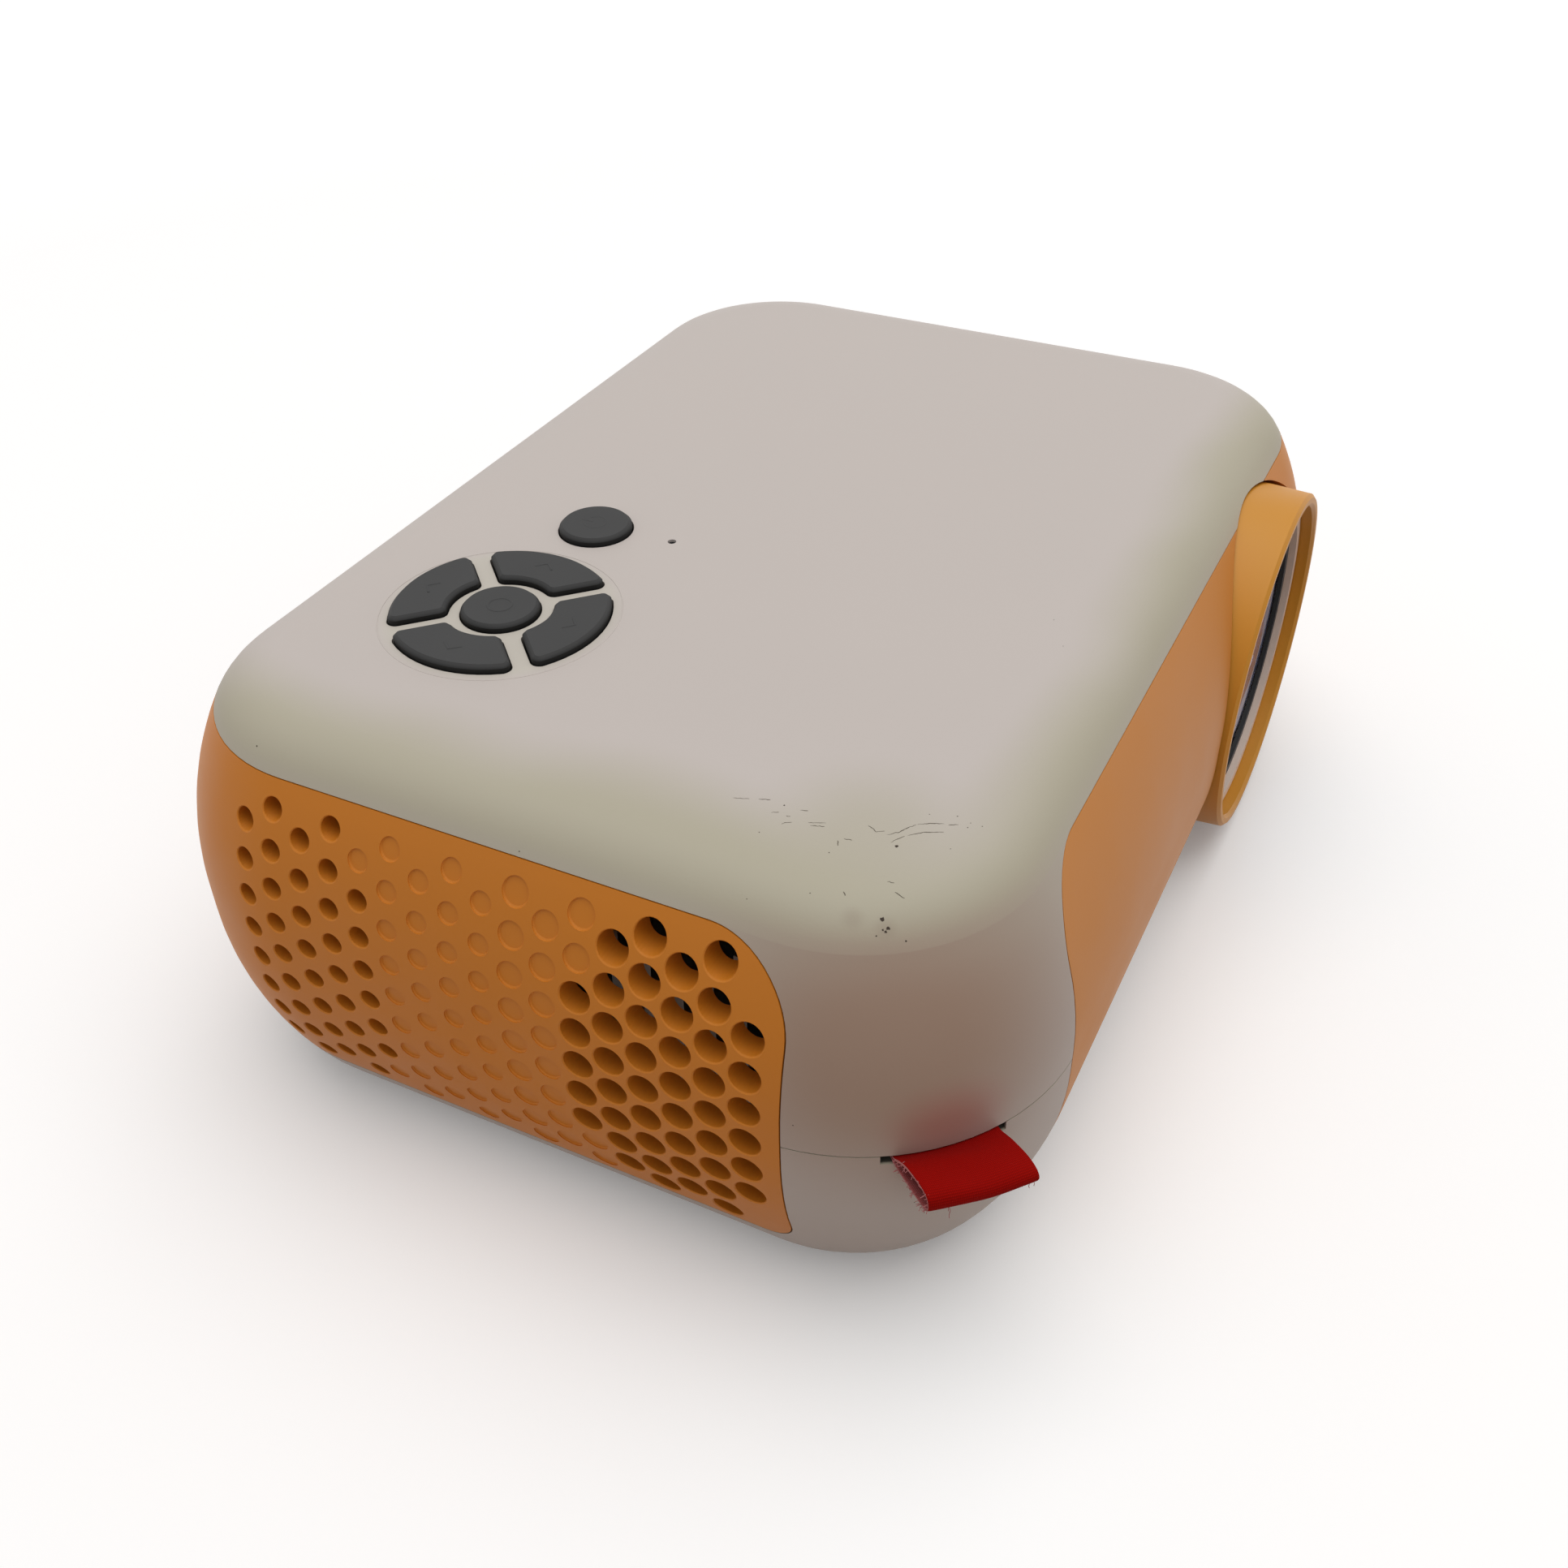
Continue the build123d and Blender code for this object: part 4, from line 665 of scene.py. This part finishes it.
# Far darker than bare aluminium: painted shade inside the case.
ALUMINIUM_PAINTED_SHADE = (0.30, 0.31, 0.30)
FIN_ROUND = 0.00012
STREAK_LONG = 60.0
STREAK_FINE = 2500.0

lamp_face = moulded_plastic("led_ceramic", CERAMIC, roughness=0.35, blotch=0.05)
dress(lamp_face, "led_module")


def drawn_metal(name, colour, roughness, streak_along):
    """Bare metal with fine streaks from the die or the brush along one axis."""
    material = new_material(name)
    place = lay(material, "TexCoord").outputs["Object"]
    stretch = tuple(STREAK_LONG if along else STREAK_FINE for along in streak_along)
    scaled = lay(material, "VectorMath", {0: place, 1: stretch}, operation="MULTIPLY").outputs[0]
    streaks = lay(material, "TexNoise", {"Vector": scaled, "Scale": 1.0, "Detail": 3.0}).outputs["Fac"]
    dull = tuple(0.86 * channel for channel in colour) + (1,)
    connect(material, surface_of(material), {
        "Base Color": mixed(material, streaks, dull, (*colour, 1)),
        "Roughness": ranged(material, streaks, 0.3, 0.7, roughness - 0.1, roughness + 0.1),
        "Normal": bumped(material, streaks, 0.3, 0.00001),
        "Metallic": 1.0,
    })
    return material


aluminium = drawn_metal("fin_aluminium", ALUMINIUM_PAINTED_SHADE, 0.45, (0, 0, 1))
dress(aluminium, "heat_sink")
soften("heat_sink", FIN_ROUND, segments=2, angle=40)

# ---- Fan ----
# A square black frame with a seven-bladed rotor, both injection moulded. It draws air in through the
# round holes at the far side of the front panel.
dress(black, "fan_frame", "fan_rotor")

# ---- Speaker ----
# A small round speaker behind the small holes: a dark paper cone in a pressed frame, on its magnet.
# It sits in a cradle that is moulded inside the case.
CONE_DARK = (0.03, 0.028, 0.027)

cone = moulded_plastic("speaker_cone", CONE_DARK, roughness=0.8, blotch=0.2)
dress(cone, "speaker")

# ---- Boards ----
# Glass-laminate boards with green solder mask, and copper traces just showing through it.
# The main board carries the rear sockets, and the key board the switches under the keys.
MASK_GREEN = (0.012, 0.09, 0.04)
TRACE_GREEN = (0.03, 0.16, 0.06)
MASK_GRAIN = 0.000004

laminate = moulded_plastic("board_laminate", MASK_GREEN, roughness=0.35, grain=MASK_GRAIN, blotch=0.08)
laminate_place = lay(laminate, "TexCoord").outputs["Object"]
trace = lay(laminate, "TexBrick", {"Vector": laminate_place, "Scale": 260.0, "Mortar Size": 0.08})
paint_over(laminate, trace.outputs["Fac"], TRACE_GREEN)
dress(laminate, "main_board", "key_board")
dress(component_black, "board_components", "key_switches")

# ---- Rear sockets ----
# Folded steel shells for the two plugs and the memory card, with a moulded tongue and its gilt
# contacts in each, a black jack with a steel ring, and the power inlet with its steel pin.
STEEL = (0.62, 0.62, 0.63)
GILT = (0.80, 0.60, 0.25)
WINDOW_BLACK = (0.012, 0.006, 0.008)
REAR_FACE = MIDDLE.y + 0.049
TONGUE_BACK = 0.0016
CONTACT_BACK = 0.0021
CONTACT_RISE = 0.00006
CONTACT_SPREAD = 0.88
TUBE_FACETS = 48

steel = drawn_metal("socket_steel", STEEL, 0.3, (0, 1, 0))
gilt = drawn_metal("contact_gilt", GILT, 0.25, (0, 1, 0))
window_black = moulded_plastic("window_plastic", WINDOW_BLACK, roughness=0.08, grain=0, blotch=0.05)
dress(steel, "hdmi_socket", "usb_socket", "card_slot")
dress(black, "audio_jack", "dc_inlet")
dress(window_black, "infrared_window")


def block(mesh, low, high, edge=0.0):
    """Add a block between two corners, its four long edges along Y cut back by edge."""
    (x0, y0, z0), (x1, y1, z1) = low, high
    outline = [(x0 + edge, z0), (x1 - edge, z0), (x1, z0 + edge), (x1, z1 - edge),
               (x1 - edge, z1), (x0 + edge, z1), (x0, z1 - edge), (x0, z0 + edge)]
    if not edge:
        outline = [(x0, z0), (x1, z0), (x1, z1), (x0, z1)]
    skin_over(mesh, [[mesh.verts.new((x, y, z)) for x, z in outline] for y in (y0, y1)])


def tongue(name, x, z, width, thickness, depth, pins, pin_width, faces):
    """A socket's moulded tongue and the row or rows of contacts laid on it."""
    back_y = REAR_FACE - depth
    body = bmesh.new()
    block(body, (x - width / 2, back_y, z - thickness / 2),
          (x + width / 2, REAR_FACE - TONGUE_BACK, z + thickness / 2), thickness / 5)
    mesh_piece(name + "_tongue", body, component_black, "case", solid=True)
    contacts = bmesh.new()
    for face in faces:
        for pin in range(pins):
            place = x + (pin - (pins - 1) / 2) * width * CONTACT_SPREAD / pins
            skin = z + face * thickness / 2
            block(contacts, (place - pin_width / 2, back_y, skin - CONTACT_RISE),
                  (place + pin_width / 2, REAR_FACE - CONTACT_BACK, skin + CONTACT_RISE))
    mesh_piece(name + "_contacts", contacts, gilt, "case", solid=True)


def tube(name, x, z, inner, outer, low_y, high_y):
    """A short turned steel tube along Y, chamfered at its mouth."""
    mesh = bmesh.new()
    chamfer = 0.2 * (outer - inner)
    profile = [(inner, low_y), (outer, low_y), (outer, high_y - chamfer), (outer - chamfer, high_y),
               (inner, high_y)]
    rings = []
    for step in range(TUBE_FACETS):
        turn = 2 * pi * step / TUBE_FACETS
        rings.append([mesh.verts.new((x + r * cos(turn), y, z + r * sin(turn))) for r, y in profile])
    skin_over(mesh, rings, closed=True)
    mesh_piece(name, mesh, steel, "case", solid=True)


tongue("hdmi", MIDDLE.x + 0.014, 0.0239, width=0.0118, thickness=0.0011, depth=0.0105,
       pins=10, pin_width=0.00045, faces=(-1, 1))
tongue("usb", MIDDLE.x - 0.004, 0.0249, width=0.0110, thickness=0.0015, depth=0.0135,
       pins=4, pin_width=0.0012, faces=(-1,))
tongue("card", MIDDLE.x - 0.030, 0.0215, width=0.0106, thickness=0.0003, depth=0.0122,
       pins=8, pin_width=0.0007, faces=(1,))
tube("jack_ring", MIDDLE.x - 0.019, 0.0238, inner=0.00179, outer=0.00235,
     low_y=REAR_FACE - 0.0015, high_y=REAR_FACE + 0.00085)
tube("inlet_pin", MIDDLE.x + 0.031, 0.0258, inner=0.00093, outer=0.00099,
     low_y=REAR_FACE - 0.0110, high_y=REAR_FACE - 0.0015)

# ---- Feet ----
# Four black rubber discs, moulded with a coarse matt grain and rounded edges.
# Each is glued into a recess of the base.
RUBBER_BLACK = (0.03, 0.03, 0.031)
RUBBER_GRAIN = 0.00002
FOOT_ROUND = 0.0003

rubber = moulded_plastic("foot_rubber", RUBBER_BLACK, roughness=0.85, grain=RUBBER_GRAIN, blotch=0.2)
dress(rubber, "rubber_feet")
soften("rubber_feet", FOOT_ROUND, segments=3, angle=40)

# ---- Case screws ----
# Four blackened steel screws, sunk in the base, which hold the shells together.
# A cross recess is struck into each head, and each head has come to rest at its own angle.
SCREW_STEEL = (0.30, 0.30, 0.31)
SCREW_PLACES = [(-0.050, -0.033), (0.053, -0.030), (-0.050, 0.0345), (0.050, 0.0335)]
SCREW_FACE = 0.0037
RECESS_DEPTH = 0.0009
RECESS_TAPER = 0.45
ARM_REACH = 0.0013
ARM_HALF = 0.00026
ARM_ROOT = 0.00037

screw_steel = drawn_metal("screw_steel", SCREW_STEEL, 0.4, (1, 0, 0))
dress(screw_steel, "case_screws")
recess = bmesh.new()
for x, y in SCREW_PLACES:
    spin = random.Random(round(1e4 * (x + 2 * y))).uniform(0, pi / 2)
    outline = []
    for arm in range(4):
        for reach, side in ((ARM_REACH, -ARM_HALF), (ARM_REACH, ARM_HALF), (ARM_ROOT, ARM_ROOT)):
            outline.append((sqrt(reach ** 2 + side ** 2), spin + arm * pi / 2 + atan2(side, reach)))
    levels = ((SCREW_FACE - CUT_ABOVE, 1.0), (SCREW_FACE, 1.0), (SCREW_FACE + RECESS_DEPTH, RECESS_TAPER))
    rings = []
    for height, share in levels:
        rings.append([recess.verts.new((MIDDLE.x + x + r * share * cos(turn),
                                        MIDDLE.y + y + r * share * sin(turn), height))
                      for r, turn in outline])
    skin_over(recess, rings)
cut_with("case_screws", "recess_punch", recess, screw_steel, crease=30)

# ---- Camera-thread insert ----
# A turned brass nut for a camera tripod, with a coarse thread cut in its bore.
# It is pressed into the middle of the base.
BRASS = (0.72, 0.56, 0.28)
THREAD_ROOT = 0.00255
THREAD_CREST = 0.0031
THREAD_PITCH = 0.00127
THREAD_TURNS = 4.6
THREAD_START = 0.0010
THREAD_FACETS = 32
THREAD_FADE = 12
THREAD_LEAST = 0.05
TAP_INSIDE = 0.0002
TAP_HALF = 0.00052
TAP_TIP_HALF = 0.00008
TAP_CLEAR = 0.00012

brass = drawn_metal("insert_brass", BRASS, 0.3, (0, 0, 0))
dress(brass, "thread_insert")
tap = bmesh.new()
rings = []
steps = int(THREAD_TURNS * THREAD_FACETS)
for step in range(steps + 1):
    turn = 2 * pi * step / THREAD_FACETS
    height = THREAD_START + THREAD_PITCH * step / THREAD_FACETS
    fade = min(1, step / THREAD_FADE, (steps - step) / THREAD_FADE)
    crest = THREAD_ROOT - TAP_CLEAR + (THREAD_CREST - THREAD_ROOT + TAP_CLEAR) * max(THREAD_LEAST, fade)
    root = THREAD_ROOT - TAP_INSIDE
    profile = [(root, -TAP_HALF), (crest, -TAP_TIP_HALF), (crest, TAP_TIP_HALF), (root, TAP_HALF)]
    rings.append([tap.verts.new((MIDDLE.x + r * cos(turn), MIDDLE.y + r * sin(turn), height + rise))
                  for r, rise in profile])
skin_over(tap, rings)
cut_with("thread_insert", "thread_tap", tap, brass, crease=30)

# ---- Fabric tag ----
# A woven red ribbon, folded once into a soft loop and clamped by its two ends in the parting line.
# It leans to one side and gapes at its cut side, where the paler back of the weave and loose
# threads show.
TAG_CORNER = Vector((*CORNER_CENTRE, 0.0254))
TAG_OUT = Vector((-1, -1, 0)).normalized()
TAG_ACROSS = Vector((-1, 1, 0)).normalized()
TAG_WALL = 0.0234
TAG_WIDTH = 0.0105
TAG_SHIFT = -0.00015
TAG_CLOTH = 0.00035
TAG_LEAN = 0.165
LEAN_START = 0.0004
FOLD_BOW = 0.035
RIPPLE_HEIGHT = 0.00005
RIPPLE_ACROSS = 11
RIPPLE_OUT = 900
RIPPLE_START = 0.002
BEND_STEPS = 4
ACROSS_STEPS = 30
RED = (0.36, 0.0032, 0.0012)
RED_DARK = (0.12, 0.002, 0.0015)
RED_BACK = (0.34, 0.115, 0.115)
RED_FRAYED = (0.48, 0.17, 0.17)
# The middle of the cloth in side view, at its open and at its other side: millimetres out from the
# wall, and up from the parting line.
OPEN_SIDE = [
    (-4.3, -0.27), (-1.2, -0.27), (0, -0.27), (0.8, 0.22), (1.7, 0.66), (2.6, 0.85), (4.0, 0.90), (5.0, 0.84),
    (5.65, 0.45), (5.88, -0.20), (5.82, -0.75), (5.45, -1.12), (4.7, -1.24), (3.6, -1.22), (2.7, -1.10),
    (1.6, -0.98), (0.8, -0.84), (0, -0.72), (-1.2, -0.72), (-4.3, -0.72),
]
OTHER_SIDE = [
    (-4.3, -0.27), (-1.2, -0.27), (0, -0.27), (0.8, -0.12), (1.7, 0.18), (2.6, 0.45), (4.0, 0.70),
    (5.1, 0.66), (5.85, 0.40), (6.25, 0.02), (6.30, -0.38), (6.0, -0.75), (5.2, -0.94), (4.0, -1.00),
    (2.8, -0.97), (1.6, -0.90), (0.8, -0.80), (0, -0.72), (-1.2, -0.72), (-4.3, -0.72),
]
YARN_SCALES = {"X": 1.9, "Y": 1.5}
STRANDS = 70
STRAND_WIDTH = 0.00003
STRAND_FROM = 0.3
STRAND_LIFT = 0.00015
STRAND_REACH = (0.00008, 0.00038)
STRAND_STRAY = 0.0003
CUT_EDGE = 0.492
# Longer threads at the corners of the fold: share of the width, out from the wall, height, and drops.
CORNER_THREADS = [
    (0.30, 0.0057, -0.0011, (0, 0.0004, 0.0009, 0.0015)), (0.31, 0.0056, -0.0011, (0, 0.0003, 0.0006)),
    (-0.42, 0.0060, -0.0009, (0, 0.0003, 0.0006)), (-0.46, 0.0061, -0.0009, (0, 0.0002, 0.0005)),
]


def smooth_line(points, pieces):
    """A line through all the points, with evenly turning bends between them."""
    last = len(points) - 1
    line = []
    for index in range(last):
        nearby = [max(0, min(last, index + shift)) for shift in (-1, 0, 1, 2)]
        before, start, end, after = (Vector(points[number]) for number in nearby)
        for step in range(pieces):
            t = step / pieces
            line.append(0.5 * (2 * start + (end - before) * t
                               + (2 * before - 5 * start + 4 * end - after) * t ** 2
                               + (3 * start - before - 3 * end + after) * t ** 3))
    line.append(Vector(points[-1]))
    return line


def cloth_place(out, height, share):
    """A place on the ribbon: out from the wall and up from the parting line, and its share of the width."""
    across = share * TAG_WIDTH + TAG_SHIFT
    wall = sqrt(TAG_WALL ** 2 - across ** 2)
    free = max(0, out)
    straight = 1 - FOLD_BOW * (1 - (2 * share) ** 2)
    leant = across - TAG_LEAN * free ** 2 / (free + LEAN_START)
    place = TAG_CORNER + TAG_OUT * (wall + out * straight) + TAG_ACROSS * leant
    ripple = RIPPLE_HEIGHT * sin(RIPPLE_ACROSS * share + RIPPLE_OUT * free)
    place.z += height + ripple * min(1, free / RIPPLE_START)
    return place


ribbon = moulded_plastic("tag_fabric", RED, roughness=0.8, grain=0, blotch=0.10)
ribbon_back = moulded_plastic("tag_fabric_back", RED_BACK, roughness=0.85, grain=0, blotch=0.12)
ribbon_frayed = moulded_plastic("tag_fabric_frayed", RED_FRAYED, roughness=0.9, grain=0, blotch=0.25)
for cloth, between in ((ribbon, RED_DARK), (ribbon_back, RED)):
    weave_place = lay(cloth, "UVMap").outputs["UV"]
    yarns = []
    for way, scale in YARN_SCALES.items():
        wave = {"Vector": weave_place, "Scale": scale, "Distortion": 0.4, "Detail": 0}
        yarns.append(lay(cloth, "TexWave", wave, bands_direction=way).outputs["Fac"])
    weave = joined(cloth, "MULTIPLY", *yarns)
    connect(cloth, surface_of(cloth), {
        "Normal": bumped(cloth, weave, 0.8, 0.00004),
        "Sheen Weight": 0.012,
        "Specular IOR Level": 0.04,
    })
    paint_over(cloth, ranged(cloth, weave, 0.35, 0.0, 0.0, 0.5), between)

lines = [smooth_line(side, BEND_STEPS) for side in (OTHER_SIDE, OPEN_SIDE)]
tag_mesh = bmesh.new()
uv_layer = tag_mesh.loops.layers.uv.new("weave")
grid = []
lengths = [0.0]
for other, opened in zip(*lines):
    row = []
    for step in range(ACROSS_STEPS + 1):
        share = step / ACROSS_STEPS
        out, height = other.lerp(opened, share) * MILLIMETRE
        row.append(tag_mesh.verts.new(cloth_place(out, height, share - 0.5)))
    if grid:
        lengths.append(lengths[-1] + (row[ACROSS_STEPS // 2].co - grid[-1][ACROSS_STEPS // 2].co).length)
    grid.append(row)
for index in range(len(grid) - 1):
    for step in range(ACROSS_STEPS):
        places = ((index, step), (index, step + 1), (index + 1, step + 1), (index + 1, step))
        face = tag_mesh.faces.new([grid[along][across] for along, across in places])
        face.smooth = True
        for loop, (along, across) in zip(face.loops, places):
            loop[uv_layer].uv = (across / ACROSS_STEPS * TAG_WIDTH * 1e3, lengths[along] * 1e3)
tag = mesh_piece("ribbon_tag", tag_mesh, ribbon, "case")
tag.data.materials.append(ribbon_back)
tag.data.materials.append(ribbon_frayed)
thick = tag.modifiers.new("cloth", "SOLIDIFY")
thick.thickness = TAG_CLOTH
thick.offset = 0
thick.material_offset = 1
thick.material_offset_rim = 2
round_edge = tag.modifiers.new("round", "SUBSURF")
round_edge.levels = 1
round_edge.render_levels = 1

frayed = random.Random(7)
fray = bpy.data.curves.new("frayed_threads", "CURVE")
fray.dimensions = "3D"
fray.bevel_depth = STRAND_WIDTH
fray.bevel_resolution = 1
open_line = [point * MILLIMETRE for point in lines[1] if point.x > STRAND_FROM]


def loose_thread(places):
    """Add one loose thread through its places."""
    spline = fray.splines.new("POLY")
    spline.points.add(len(places) - 1)
    for point, place in zip(spline.points, places):
        point.co = (*place, 1)


# Short loose threads stand along the open side, and longer ones hang at the corners of the fold.
for strand in range(STRANDS):
    out, height = frayed.choice(open_line)
    root = cloth_place(out, height + frayed.uniform(-STRAND_LIFT, STRAND_LIFT), CUT_EDGE)
    reach = frayed.uniform(*STRAND_REACH)
    drift = shaken(frayed, STRAND_STRAY)
    loose_thread([root + TAG_ACROSS * reach * share + drift * share * share for share in (0, 0.5, 1)])
for share, out, height, drops in CORNER_THREADS:
    root = cloth_place(out, height, share)
    loose_thread([root + TAG_OUT * frayed.uniform(0, 0.00025) + TAG_ACROSS * frayed.uniform(-0.0001, 0.0001)
                  - Vector((0, 0, drop)) for drop in drops])
threads = bpy.data.objects.new("frayed_threads", fray)
bpy.context.scene.collection.objects.link(threads)
fray.materials.append(ribbon_frayed)
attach(threads, "case")
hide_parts("woven_tag")
